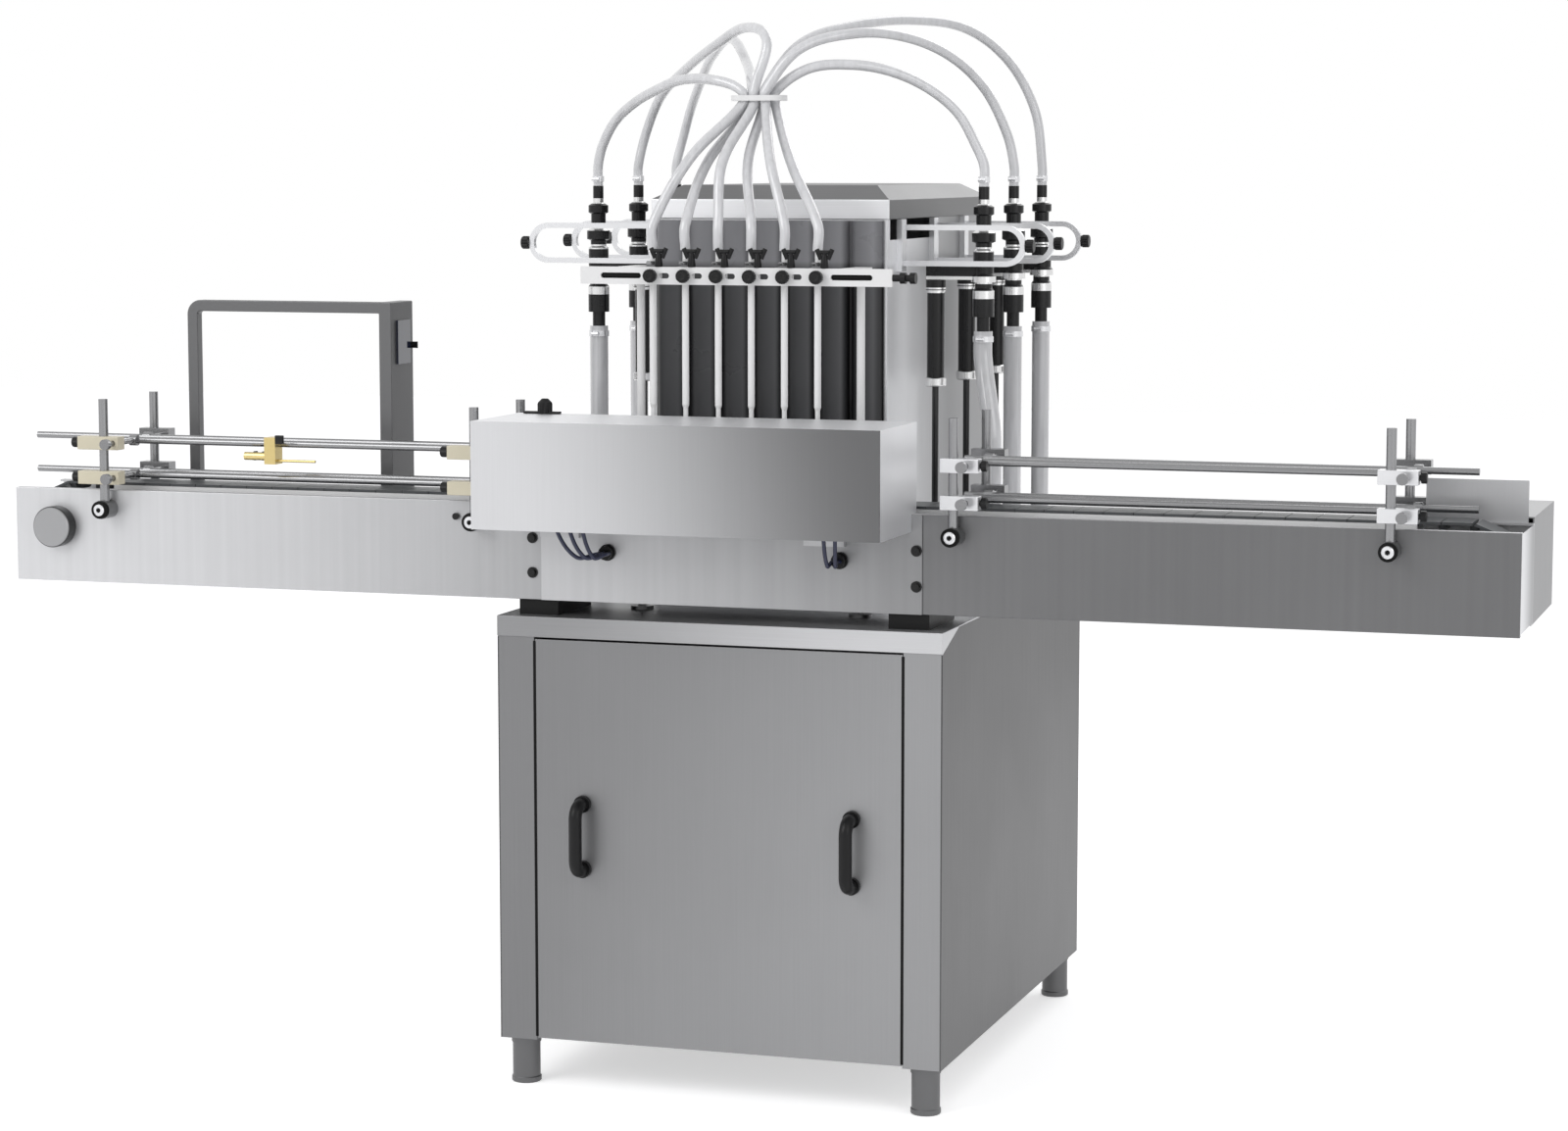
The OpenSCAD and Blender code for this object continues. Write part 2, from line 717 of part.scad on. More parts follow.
module stop_cover() color("silver") translate([cover_dx, plate_y, cover_z]) {
    difference() {
        block([-cover_w / 2, -cover_d, 0], [cover_w, cover_d + cover_back, cover_h]);
        block([-cover_w / 2 + sheet_t, -cover_d + sheet_t, -cut],
            [cover_w - 2 * sheet_t, cover_d + cover_back, cover_h - sheet_t + cut]);
        // The side walls stop at the middle plate below the belt
        block([-cover_w / 2 - cut, -mid_t - cover_gap, -cut],
            [cover_w + 2 * cut, cover_back + mid_t + cut, cover_drop + cut + cover_gap]);
    }
    translate([-cover_w / 2 + knob_x, cover_back - knob_r - sheet_t, cover_h]) {
        cylinder(r = knob_r / 2, h = knob_h);
        translate([0, 0, knob_h]) sphere(r = knob_r);
    }
}

// Air cylinders of the bottle stops on bracket plates
stop_x = [-240, 160];
stop_rise = 34;
bracket_w = 60;
bracket_t = 8;
bracket_up = 70;
bracket_down = 48;
air_r = 15;
air_l = 80;
air_end_r = 18;
air_end_t = 10;
stop_r = 5;
stop_head_r = 9;
stop_head_t = 5;
stop_travel = 25;
stop_z = belt_z + stop_rise;
stop_tip_y = plate_y + 44;

module stop_cylinders() color("silver") {
    y0 = plate_y - mid_t - bracket_t;
    for (x = stop_x) difference() {
        union() {
            block([x - bracket_w / 2, y0, belt_z - bracket_down], [bracket_w, bracket_t, bracket_down + bracket_up]);
            rod_y([x, y0 - air_l, stop_z], air_r, air_l);
            rod_y([x, y0 - air_l, stop_z], air_end_r, air_end_t);
            rod_y([x, y0 - air_end_t, stop_z], air_end_r, air_end_t);
        }
        rod_y([x, y0 - air_l + air_end_t, stop_z], stop_r + slip, air_l + bracket_t);
    }
}

module stop_rod(x) {
    y0 = plate_y - mid_t - bracket_t - air_l + air_end_t + seat;
    rod_y([x, y0, stop_z], stop_r, stop_tip_y - y0);
    rod_y([x, stop_tip_y - stop_head_t, stop_z], stop_head_r, stop_head_t);
}
module stop_rod_left() color("gold") stop_rod(stop_x[0]);
module stop_rod_right() color("gold") stop_rod(stop_x[1]);

// Glands in the middle plate where the air tubes go in
tube_gland_x = [-168, 182];
tube_gland_drop = 68;
tube_gland_r = 10;
tube_gland_l = 14;
tube_r = 3;

module cable_glands() color("#202020") {
    for (x = tube_gland_x) translate([x, plate_y - mid_t, belt_z - tube_gland_drop]) rotate([90, 0, 0]) {
        cylinder(r = tube_gland_r * 1.2, h = tube_gland_l / 3);
        cylinder(r = tube_gland_r, h = tube_gland_l, $fn = 24);
    }
}

// A smooth curve through a route's points, and a tube swept along it
function curve_point(a, b, c, d, t) =
    0.5 * ((2 * b) + (c - a) * t + (2 * a - 5 * b + 4 * c - d) * t * t + (3 * b - a - 3 * c + d) * t * t * t);
function smooth(p, n) = let (last = len(p) - 1) concat(
    [for (i = [0 : last - 1], k = [0 : n - 1])
        curve_point(p[max(i - 1, 0)], p[i], p[i + 1], p[min(i + 2, last)], k / n)], [p[last]]);
function unit(v) = v / norm(v);
function ring(c, dir, r, sides, side_dir) = let (u = unit(cross(side_dir, dir)), v = unit(cross(dir, u)))
    [for (k = [0 : sides - 1]) c + r * (cos(360 * k / sides) * u + sin(360 * k / sides) * v)];

module tube(path, r, sides = 8, side_dir = [0, 1, 0]) {
    n = len(path);
    dirs = [for (i = [0 : n - 1]) unit(path[min(i + 1, n - 1)] - path[max(i - 1, 0)])];
    polyhedron(
        points = [for (i = [0 : n - 1]) each ring(path[i], dirs[i], r, sides, side_dir)],
        faces = concat([[for (k = [0 : sides - 1]) k]],
            [for (i = [0 : n - 2], k = [0 : sides - 1]) let (a = i * sides + k, b = i * sides + (k + 1) % sides)
                each [[a, a + sides, b + sides], [a, b + sides, b]]],
            [[for (k = [sides - 1 : -1 : 0]) (n - 1) * sides + k]]));
}

// Air tubes from the cylinders' ends to the glands, in the plane of the middle plate
air_fan_left = [-225, -205, -185];
air_fan_right = [175, 192];

air_out = [60, 58, 46];
air_up = 10;
air_under = 6;

module air_tube(x0, gx, k) {
    y = plate_y - mid_t;
    z = belt_z - tube_gland_drop;
    // The tubes stand side by side at the gland's mouth
    mouth = gx + (k - 1) * 2.2 * tube_r;
    tube(smooth([[x0, y - air_out[0], belt_z + air_up], [x0, y - air_out[1], cover_z - air_under],
        [(x0 + mouth) / 2, y - air_out[2], z - tube_r], [mouth, y - tube_gland_l - 6 * tube_r, z],
        [mouth, y - tube_gland_l - seat, z]], 2), tube_r, 8, [1, 0, 0]);
}

module air_tubes() color("navy") {
    for (k = [0 : len(air_fan_left) - 1]) air_tube(air_fan_left[k], tube_gland_x[0], k);
    for (k = [0 : len(air_fan_right) - 1]) air_tube(air_fan_right[k], tube_gland_x[1], k + 0.5);
}

// Nozzle bar: a slotted plate, its arms hold the nozzles over the lane
bar_z = belt_z + bar_rise;
bar_mid_z = bar_z + bar_h / 2;
bar_back = 52;
nozzle_dx = -1;
bar_y = plate_y + bar_back;
nozzle_x0 = nozzle_dx - nozzle_pitch * (nozzle_count - 1) / 2;
function nozzle_x(i) = nozzle_x0 + i * nozzle_pitch;
slot_h = 8;
long_slot = 62;
long_slot_x = [-167, 181];
short_slot = 16;
arm_w = 20;
arm_past = 12;
dive_arm_w = 26;
stem_r = 3;

// A slot through the bar, given by its middle and length
module bar_slot(x, l) {
    r = slot_h / 2;
    block([x - l / 2 + r, bar_y - cut, bar_mid_z - r], [l - slot_h, bar_t + 2 * cut, slot_h]);
    for (s = [-1, 1]) rod_y([x + s * (l / 2 - r), bar_y - cut, bar_mid_z], r, bar_t + 2 * cut);
}

module nozzle_bar() color("whitesmoke") {
    x0 = bar_dx - bar_l / 2;
    difference() {
        block([x0, bar_y, bar_z], [bar_l, bar_t, bar_h]);
        for (x = long_slot_x) bar_slot(x, long_slot);
        for (i = [0 : nozzle_count - 2]) bar_slot(nozzle_x(i) + nozzle_pitch / 2, short_slot);
    }
    // Arms from the back of the bar to the nozzles
    for (i = [0 : nozzle_count - 1]) difference() {
        block([nozzle_x(i) - arm_w / 2, bar_y + bar_t, bar_z],
            [arm_w, lane_y + arm_past - bar_y - bar_t, bar_h]);
        rod_z([nozzle_x(i), lane_y, bar_z - cut], nozzle_dia / 2 + seat, bar_h + 2 * cut);
    }
    // Arms over the dive rods
    for (s = [-1, 1])
        block([bar_dx + s * dive_x - dive_arm_w / 2, bar_y + bar_t, bar_z],
            [dive_arm_w, dive_y + dive_arm_w / 2 - bar_y - bar_t, bar_h]);
}

barb_up = 24;
barb_r = 4;
tip_r = 3.5;
tip_l = 12;
lumen_r = 2.5;

// Nozzles: a thin tube with a reduced tip, a shoulder on its arm and a hose barb
module nozzles() color("whitesmoke") {
    z0 = belt_z + tip_rise;
    arm_top = bar_z + bar_h;
    r = nozzle_dia / 2;
    for (i = [0 : nozzle_count - 1]) translate([nozzle_x(i), lane_y, 0]) rotate_extrude()
        polygon([[lumen_r, z0], [tip_r, z0], [tip_r, z0 + tip_l], [r, z0 + tip_l + r], [r, arm_top + seat],
            [r + seat * 10, arm_top + seat], [r + seat * 10, arm_top + barb_r],
            [barb_r, arm_top + barb_r], [barb_r, arm_top + barb_up], [lumen_r, arm_top + barb_up]]);
}

knob_len = 14;
clamp_r = 9;
clamp_neck = 4;
wing_h = 30;
wing_r = 7;
wing_off = 9;
clamp_off = 7;
end_bolt_r = 5;
end_bolt_l = 34;
end_knob_r = 8;

// A knurled knob on the bar's face and a wing screw on the arm, for each nozzle
module clamp_knobs() color("#161616") {
    for (i = [0 : nozzle_count - 1]) {
        x = nozzle_x(i);
        wing_x = x + clamp_off + wing_off;
        rod_y([x + clamp_off, bar_y - clamp_neck, bar_mid_z], clamp_r / 2, clamp_neck);
        rod_y([x + clamp_off, bar_y - knob_len, bar_mid_z], clamp_r, knob_len - clamp_neck);
        rod_z([wing_x, bar_y + bar_t / 2, bar_z + bar_h], stem_r, wing_h - wing_r);
        rod_x([wing_x - wing_r, bar_y + bar_t / 2, bar_z + bar_h + wing_h - wing_r], stem_r, 2 * wing_r);
    }
    x1 = bar_dx + bar_l / 2;
    rod_x([x1, bar_y + bar_t / 2, bar_mid_z], end_bolt_r, end_bolt_l);
    for (x = [x1 + end_bolt_l / 3, x1 + end_bolt_l - end_knob_r])
        rod_x([x, bar_y + bar_t / 2, bar_mid_z], end_knob_r, end_knob_r);
}

dive_travel = 60;
dive_drop = 194;
dive_low = deck_z - dive_drop;
cross_h = 24;
cross_d = 30;
air_rod_r = 6;
dive_body_h = 120;
dive_body_r = 20;

module dive_rods() color("whitesmoke") {
    r = dive_dia / 2;
    for (s = [-1, 1]) rod_z([bar_dx + s * dive_x, dive_y, dive_low], r, bar_z - dive_low);
    difference() {
        block([bar_dx - dive_x - cross_d / 2, dive_y - cross_d / 2, dive_low - cross_h],
            [2 * dive_x + cross_d, cross_d, cross_h]);
        for (s = [-1, 1]) rod_z([bar_dx + s * dive_x / 2, dive_y, dive_low - cross_h - cut], r / 2, cross_h + 2 * cut);
    }
    rod_z([bar_dx, dive_y, dive_low], air_rod_r, deck_z - dive_body_h + cross_h - dive_low);
}

// Air cylinder that hangs from the deck and moves the dive crosshead
module dive_cylinder() color("silver") {
    translate([bar_dx, dive_y, 0]) difference() {
        union() {
            rod_z([0, 0, deck_z - dive_body_h], dive_body_r, dive_body_h);
            for (z = [deck_z - dive_body_h, deck_z - cross_h])
                block([-dive_body_r - angle_t, -dive_body_r, z], [2 * (dive_body_r + angle_t), 2 * dive_body_r, cross_h]);
        }
        rod_z([0, 0, deck_z - dive_body_h - cut], air_rod_r + slip, dive_body_h - cross_h);
    }
}

// Flanged bushes in the deck for the dive rods and piston rods, and fittings of the suction hoses
module bush(r) {
    difference() {
        union() {
            rod_z([0, 0, top_z], bush_flange_r, bush_flange_t);
            rod_z([0, 0, top_z - bush_l], bush_r, bush_l);
        }
        rod_z([0, 0, top_z - bush_l - cut], r + slip, bush_l + bush_flange_t + 2 * cut);
    }
}

module rod_bushes() color("slategray") {
    for (s = [-1, 1]) {
        translate([bar_dx + s * dive_x, dive_y, 0]) bush(dive_dia / 2);
        for (y = row_y) {
            translate([head_dx + s * pump_x, y, 0]) bush(piston_rod_r);
            translate([head_dx + s * valve_x, y, top_z]) difference() {
                cylinder(r = gland_r, h = gland_h);
                translate([0, 0, -cut]) cylinder(r = suction_dia / 2 - sheet_t, h = gland_h + 2 * cut);
            }
        }
    }
}

// Tower
tower_y = plate_y + tower_back;
tower_top = top_z + tower_h;
side_slot_l = 268;
side_slot_h = 34;
side_slot_z = belt_z + 377;
side_slot_y = 14;
tower_foot = 18;

module tower_shell() color("lightgray") {
    x0 = head_dx - tower_w / 2;
    difference() {
        block([x0, tower_y, top_z], [tower_w, tower_d, tower_h]);
        block([x0 + sheet_t, tower_y + sheet_t, top_z - cut],
            [tower_w - 2 * sheet_t, tower_d - 2 * sheet_t, tower_h + 2 * cut]);
        for (x = [x0 - cut, x0 + tower_w - sheet_t - cut])
            block([x, tower_y + side_slot_y, side_slot_z], [sheet_t + 2 * cut, side_slot_l, side_slot_h]);
    }
    // Turned-in foot of the front and back walls
    for (y = [tower_y + sheet_t, tower_y + tower_d - tower_foot])
        block([x0 + sheet_t, y, top_z], [tower_w - 2 * sheet_t, tower_foot - sheet_t, sheet_t]);
}

lid_past = 4;
lid_wall = 2;
hip_share = 0.82;

// Lid: a band round the tower and a hipped top
module tower_lid() color("gainsboro") {
    w = tower_w + 2 * lid_past;
    d = tower_d + 2 * lid_past;
    translate([head_dx, tower_y + tower_d / 2, tower_top]) {
        difference() {
            block([-w / 2, -d / 2, -lid_h / 2], [w, d, 1.5 * lid_h]);
            block([-w / 2 + lid_past - seat, -d / 2 + lid_past - seat, -lid_h / 2 - cut],
                [tower_w + 2 * seat, tower_d + 2 * seat, lid_h / 2 + cut]);
        }
        translate([0, 0, lid_h]) linear_extrude(lid_rise, scale = hip_share) square([w, d], center = true);
    }
}

// Dark guard of half-round flutes on the front of the tower
flute_count = 7;
guard_drop = 60;
guard_gap = 2;
guard_z = belt_z - guard_drop;
guard_h = tower_top - lid_h / 2 - guard_gap - guard_z;
guard_t = 4;

module fluted_guard() color("#15171a") {
    pitch = (tower_w - 2 * guard_t) / flute_count;
    x0 = head_dx - flute_count * pitch / 2;
    translate([0, tower_y, guard_z]) {
        block([x0, -guard_t, 0], [flute_count * pitch, guard_t, guard_h]);
        for (i = [0 : flute_count - 1]) intersection() {
            translate([x0 + (i + 0.5) * pitch, 0, 0]) cylinder(r = pitch * 0.47, h = guard_h, $fn = 48);
            block([x0, -pitch, 0], [flute_count * pitch, pitch - guard_t / 2, guard_h]);
        }
    }
}

// Pumps
barrel_rise = 171;
barrel_z = belt_z + barrel_rise;
barrel_h = 147;
nut_h = 12;
nut_r = 16;
cap_top_h = 18;
head_h = 22;
head_z = barrel_z + barrel_h;
head_d = 24;
rod_drop = 134;
rod_low_z = deck_z - rod_drop;
stroke = 60;
piston_l = 20;

// Every place of a pump or valve on both sides
module each_side(x) {
    for (s = [-1, 1], y = row_y) translate([head_dx + s * x, y, 0]) children();
}

module pump_barrels() color("#1c1c20") each_side(pump_x) difference() {
    union() {
        rod_z([0, 0, barrel_z], barrel_dia / 2, barrel_h);
        translate([0, 0, barrel_z - nut_h]) rotate_extrude()
            polygon([[0, 0], [nut_r - sheet_t, 0], [nut_r, sheet_t], [nut_r, nut_h], [barrel_dia / 2, nut_h + sheet_t],
                [0, nut_h + sheet_t]]);
        rod_z([0, 0, head_z - cap_top_h], barrel_dia / 2 + sheet_t, cap_top_h);
    }
    rod_z([0, 0, barrel_z], piston_dia / 2, barrel_h - cap_top_h);
    rod_z([0, 0, barrel_z - nut_h - cut], piston_rod_r + slip, nut_h + 2 * cut);
}

module piston_rods() color("silver") each_side(pump_x) {
    rod_z([0, 0, rod_low_z], piston_rod_r, barrel_z + sheet_t - rod_low_z);
    rod_z([0, 0, barrel_z + sheet_t], piston_dia / 2 - slip, piston_l);
}

plate_h2 = 20;
side_bar_w = 36;
mid_bar_w = 60;
screw_r = 10;
nut_hub_r = 24;
nut_hub_h = 40;
screw_y = row_y[1];

// Crosshead: a bar under each row of pumps, joined at the ball nut
module pump_crosshead() color("lightsteelblue") {
    l = row_y[2] - row_y[0] + side_bar_w;
    difference() {
        union() {
            for (s = [-1, 1]) block([head_dx + s * pump_x - side_bar_w / 2, row_y[0] - side_bar_w / 2, rod_low_z - plate_h2],
                [side_bar_w, l, plate_h2]);
            block([head_dx - pump_x, screw_y - mid_bar_w / 2, rod_low_z - plate_h2], [2 * pump_x, mid_bar_w, plate_h2]);
            rod_z([head_dx, screw_y, rod_low_z - nut_hub_h], nut_hub_r, nut_hub_h);
        }
        rod_z([head_dx, screw_y, rod_low_z - nut_hub_h - cut], screw_r + slip, nut_hub_h + 2 * cut);
    }
}

motor_w = 90;
motor_h = 240;
motor_cap_h = 12;
coupling_r = 18;
coupling_h = 30;
floor_top = cab_z + angle_t + sheet_t;
screw_z = floor_top + motor_h + motor_cap_h;
screw_top = deck_z - 12;

module ball_screw() color("silver") translate([head_dx, screw_y, 0]) {
    rod_z([0, 0, screw_z + seat], screw_r, screw_top - screw_z - 2 * seat);
    rod_z([0, 0, screw_z + seat], coupling_r, coupling_h);
}

// Servo motor under the screw, and the upper bearing of the screw under the deck
module servo_motor() color("#303030") translate([head_dx, screw_y, 0]) {
    translate([-motor_w / 2, -motor_w / 2, floor_top]) round_block([motor_w, motor_w, motor_h], 8);
    block([-motor_w / 2 - angle_t, -motor_w / 2 - angle_t, floor_top + motor_h],
        [motor_w + 2 * angle_t, motor_w + 2 * angle_t, motor_cap_h]);
    rod_z([0, 0, screw_top], nut_hub_r, deck_z - screw_top);
}

// Valve stacks: turned bodies one above the other, joined to the pump by the head block
valve_low_rise = 242;
valve_top_rise = 455;
valve_low_z = belt_z + valve_low_rise;
valve_top_z = belt_z + valve_top_rise;
stack_shares = [[0.6, 0], [0.6, 0.1], [1.0, 0.1], [1.0, 0.28], [0.8, 0.3], [0.8, 0.34], [1.15, 0.34], [1.15, 0.38],
    [0.95, 0.4], [0.95, 0.56], [0.75, 0.57], [0.75, 0.61], [1.1, 0.62], [1.1, 0.68], [0.7, 0.7], [0.7, 0.8],
    [0.95, 0.81], [0.95, 0.86], [0.5, 0.88], [0.5, 1], [0.3, 1], [0.3, 0]];
valve_r = 16;

module valve_bodies() color("#26262a") {
    h = valve_top_z - valve_low_z;
    each_side(valve_x) translate([0, 0, valve_low_z]) rotate_extrude()
        polygon([for (p = stack_shares) [p[0] * valve_r, p[1] * h]]);
    for (s = [-1, 1], y = row_y) {
        x0 = head_dx + s * pump_x;
        x1 = head_dx + s * (valve_x - valve_r * 0.6);
        block([min(x0, x1) - (s > 0 ? head_d / 2 : 0), y - head_d / 2, head_z],
            [abs(x1 - x0) + head_d / 2, head_d, head_h]);
    }
}

// Yokes: loops of flat bar in front of the valves, from the tower's wall to past the valves
yoke_t = 8;
yoke_w = 9;
yoke_rise = 338;
yoke_gap = 7;
yoke_z = belt_z + yoke_rise;
yoke_h = 61;
yoke_reach = [103, 70];
yoke_foot = 24;

module yoke(s, y) {
    wall = head_dx + s * tower_w / 2;
    reach = s < 0 ? yoke_reach[0] : yoke_reach[1];
    end = head_dx + s * (valve_x + reach);
    r = yoke_h / 2;
    x0 = min(wall, end - s * r);
    l = abs(end - s * r - wall);
    translate([0, y, yoke_z]) {
        for (z = [0, yoke_h - yoke_t]) block([x0, 0, z], [l, yoke_w, yoke_t]);
        // Rounded outer end
        translate([end - s * r, yoke_w, r]) rotate([90, 0, 0]) difference() {
            cylinder(r = r, h = yoke_w);
            translate([0, 0, -cut]) cylinder(r = r - yoke_t, h = yoke_w + 2 * cut);
            translate([s > 0 ? -2 * r : 0, -2 * r, -cut]) cube([2 * r, 4 * r, yoke_w + 2 * cut]);
        }
        // Foot on the tower's wall
        block([s > 0 ? wall : wall - yoke_t, -yoke_w, -yoke_t], [yoke_t, yoke_foot, yoke_h + 2 * yoke_t]);
    }
}

yoke_y = [for (y = row_y) y - head_d / 2 - yoke_w - seat - yoke_gap];
module pump_yokes() color("gainsboro") {
    for (s = [-1, 1], y = yoke_y) yoke(s, y);
}

yoke_knob_r = 9;
module yoke_knobs() color("#161616") {
    for (s = [-1, 1], y = yoke_y) {
        reach = s < 0 ? yoke_reach[0] : yoke_reach[1];
        x = head_dx + s * (valve_x + reach);
        rod_x([s > 0 ? x : x - yoke_knob_r, y + yoke_w / 2, yoke_z + yoke_h / 2], yoke_knob_r, yoke_knob_r);
    }
}

// Fill hoses: from each nozzle through the ring and over to a valve. Points chosen by hand.
ring_back = 200;
ring_y = plate_y + ring_back;
ring_z = 1444;
ring_dx = -5;
hose_z0 = bar_z + bar_h + barb_up + seat;
hose_end_z = valve_top_z + seat;
ring_offsets = [[-23, -10], [-14, 10], [-5, -10], [4, 10], [13, -10], [22, 10]];
// A point of each hose between its nozzle and the ring
rises = [[-81, -218, 1357], [-65, -188, 1351], [-32, -218, 1351], [-3, -188, 1351], [41, -218, 1351],
    [62, -188, 1351]];
// Middle points of each hose between the ring and its valve, in the order of the nozzles
arcs = [
    [[-73, -129, 1470], [-134, -102, 1472], [-187, -67, 1458], [-236, -32, 1439], [-277, -4, 1412],
        [-301, 7, 1377]],
    [[-66, -5, 1499], [-130, 109, 1539], [-195, 209, 1514], [-242, 289, 1476], [-277, 342, 1434],
        [-297, 363, 1390]],
    [[6, -128, 1527], [-42, -80, 1548], [-117, -4, 1524], [-193, 82, 1492], [-260, 154, 1452],
        [-295, 185, 1399]],
    [[36, -60, 1524], [91, 43, 1554], [147, 156, 1565], [205, 259, 1554], [253, 333, 1505],
        [287, 363, 1430]],
    [[55, -122, 1515], [122, -67, 1538], [175, 11, 1535], [222, 93, 1509], [259, 158, 1461],
        [287, 185, 1395]],
    [[67, -113, 1487], [127, -91, 1492], [178, -61, 1482], [224, -29, 1458], [262, -4, 1422],
        [288, 7, 1372]]];
valve_side = [-1, -1, -1, 1, 1, 1];
valve_row = [0, 2, 1, 2, 1, 0];
hose_lead = 36;
hose_end = 30;
ring_lead = 10;
hose_stub = 1;

// The ends start with a short upright stub, so that they stand flat on their barbs
function hose_route(i) = let (
    x = nozzle_x(i),
    rx = ring_dx + ring_offsets[i][0],
    ry = ring_y + ring_offsets[i][1],
    vx = head_dx + valve_side[i] * valve_x,
    vy = row_y[valve_row[i]])
    concat([[x, lane_y, hose_z0]],
        smooth([[x, lane_y, hose_z0 + hose_stub], [x, lane_y, hose_z0 + hose_lead], rises[i],
            [rx, ry, ring_z - ring_lead]], 2),
        smooth(concat([[rx, ry, ring_z + ring_lead]], arcs[i],
            [[vx, vy, hose_end_z + hose_end], [vx, vy, hose_end_z + hose_stub]]), 2),
        [[vx, vy, hose_end_z]]);

module fill_hoses() color("white") {
    for (i = [0 : nozzle_count - 1]) tube(hose_route(i), hose_dia / 2);
}

// Flat band round the six hoses
ring_h = 8;
ring_wall = 2.5;
ring_end_x = ring_offsets[5][0];
ring_in_r = ring_offsets[1][1] + hose_dia / 2 + 2 * seat;
module oval(r, low, h) translate([0, 0, low]) {
    for (s = [-1, 1]) translate([s * ring_end_x, 0, 0]) cylinder(r = r, h = h);
    translate([-ring_end_x, -r, 0]) cube([2 * ring_end_x, 2 * r, h]);
}
module hose_ring() color("white") translate([ring_dx, ring_y, ring_z - ring_h / 2]) difference() {
    oval(ring_in_r + ring_wall, 0, ring_h);
    oval(ring_in_r, -cut, ring_h + 2 * cut);
}

// Suction hoses from the valves down to the fittings in the deck
suction_lean = 20;
suction_lead = 40;
suction_shares = [0.59, 0.18];
module suction_hoses() color("whitesmoke") {
    for (s = [-1, 1], k = [0 : 2]) {
        x = head_dx + s * valve_x;
        lean = s > 0 && k == 0 ? suction_lean : 0;
        z0 = top_z + gland_h;
        drop = valve_low_z - z0;
        tube([[x, row_y[k], valve_low_z], [x, row_y[k], valve_low_z - suction_lead],
            [x + lean, row_y[k] - lean, z0 + drop * suction_shares[0]],
            [x + lean / 2, row_y[k], z0 + drop * suction_shares[1]],
            [x, row_y[k], z0 + suction_lead / 2], [x, row_y[k], z0]], suction_dia / 2, 12);
    }
}

// Portal arch: a bent tube on the left, a control pillar on the right
portal_y = rear_y;
pillar_t = 20;
portal_foot = 100;
portal_round = 22;

module portal_frame() color("silver") {
    x0 = -portal_x;
    x1 = x0 + portal_w - pillar_t;
    z0 = belt_z - portal_foot;
    zt = belt_z + portal_h;
    t = portal_t;
    r = portal_round;
    block([x0, portal_y, z0], [t, t, zt - r - z0]);
    block([x0 + r, portal_y, zt - t], [x1 - x0 - r, t, t]);
    translate([x0 + r, portal_y + t, zt - r]) rotate([90, 0, 0]) difference() {
        cylinder(r = r, h = t);
        translate([0, 0, -cut]) cylinder(r = r - t, h = t + 2 * cut);
        translate([0, -r - cut, -cut]) cube([r + cut, 2 * (r + cut), t + 2 * cut]);
        translate([-r - cut, -r - cut, -cut]) cube([2 * (r + cut), r + cut, t + 2 * cut]);
    }
    block([x1, portal_y, z0], [pillar_t, pillar_d, zt - z0]);
}

panel_size = [3, 46, 66];
panel_back = 20;
panel_drop = 28;
selector_r = 5;
selector_l = 9;
selector_w = 2.4;
selector_y = 73;
selector_drop = 6;

module control_panel() color("#101820") {
    x = -portal_x + portal_w;
    block([x, portal_y + panel_back, belt_z + portal_h - panel_drop - panel_size.z], panel_size);
}

module selector_knob() color("#111111") {
    x = -portal_x + portal_w;
    z = belt_z + portal_h - panel_drop - panel_size.z / 2 - selector_drop;
    rod_x([x + seat, portal_y + selector_y, z], selector_r, selector_l);
    block([x + selector_l, portal_y + selector_y - selector_w / 2, z - selector_r],
        [selector_r / 2, selector_w, 2 * selector_r]);
}

cabinet_frame();
side_panel_left();
side_panel_right();
rear_panel();
cabinet_floor();
cabinet_top();
levelling_feet();
door_panel();
door_handles();
front_side_plate();
rear_side_plate();
cross_members();
wear_strips();
slat_chain();
drive_shaft();
idler_shaft();
shaft_bearings();
bearing_cap();
drive_housing();
gearmotor();
middle_plate();
plate_bolts();
post_bosses();
guide_posts();
blocks_front_left();
blocks_front_right();
rails_front_left();
rails_front_right();
rails_rear_left();
rails_rear_right();
bottle_sensor();
stop_cover();
stop_cylinders();
stop_rod_left();
stop_rod_right();
cable_glands();
air_tubes();
nozzle_bar();
nozzles();
clamp_knobs();
dive_rods();
rod_bushes();
dive_cylinder();
tower_shell();
tower_lid();
fluted_guard();
pump_barrels();
piston_rods();
pump_crosshead();
ball_screw();
servo_motor();
valve_bodies();
pump_yokes();
yoke_knobs();
fill_hoses();
hose_ring();
suction_hoses();
portal_frame();
control_panel();
selector_knob();
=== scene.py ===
"""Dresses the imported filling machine.

Gives every CAD node its finish, and adds the hoses, knobs, screws, clamps and trims.
"""

import logging
import math
from dataclasses import dataclass, field
from enum import Enum
from typing import Sequence

import bpy
from bpy.types import Material, Node, NodeOutputs, NodeSocket, NodeTree
from bpy.types import Object as Piece
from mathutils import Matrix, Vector
from mathutils.geometry import interpolate_bezier

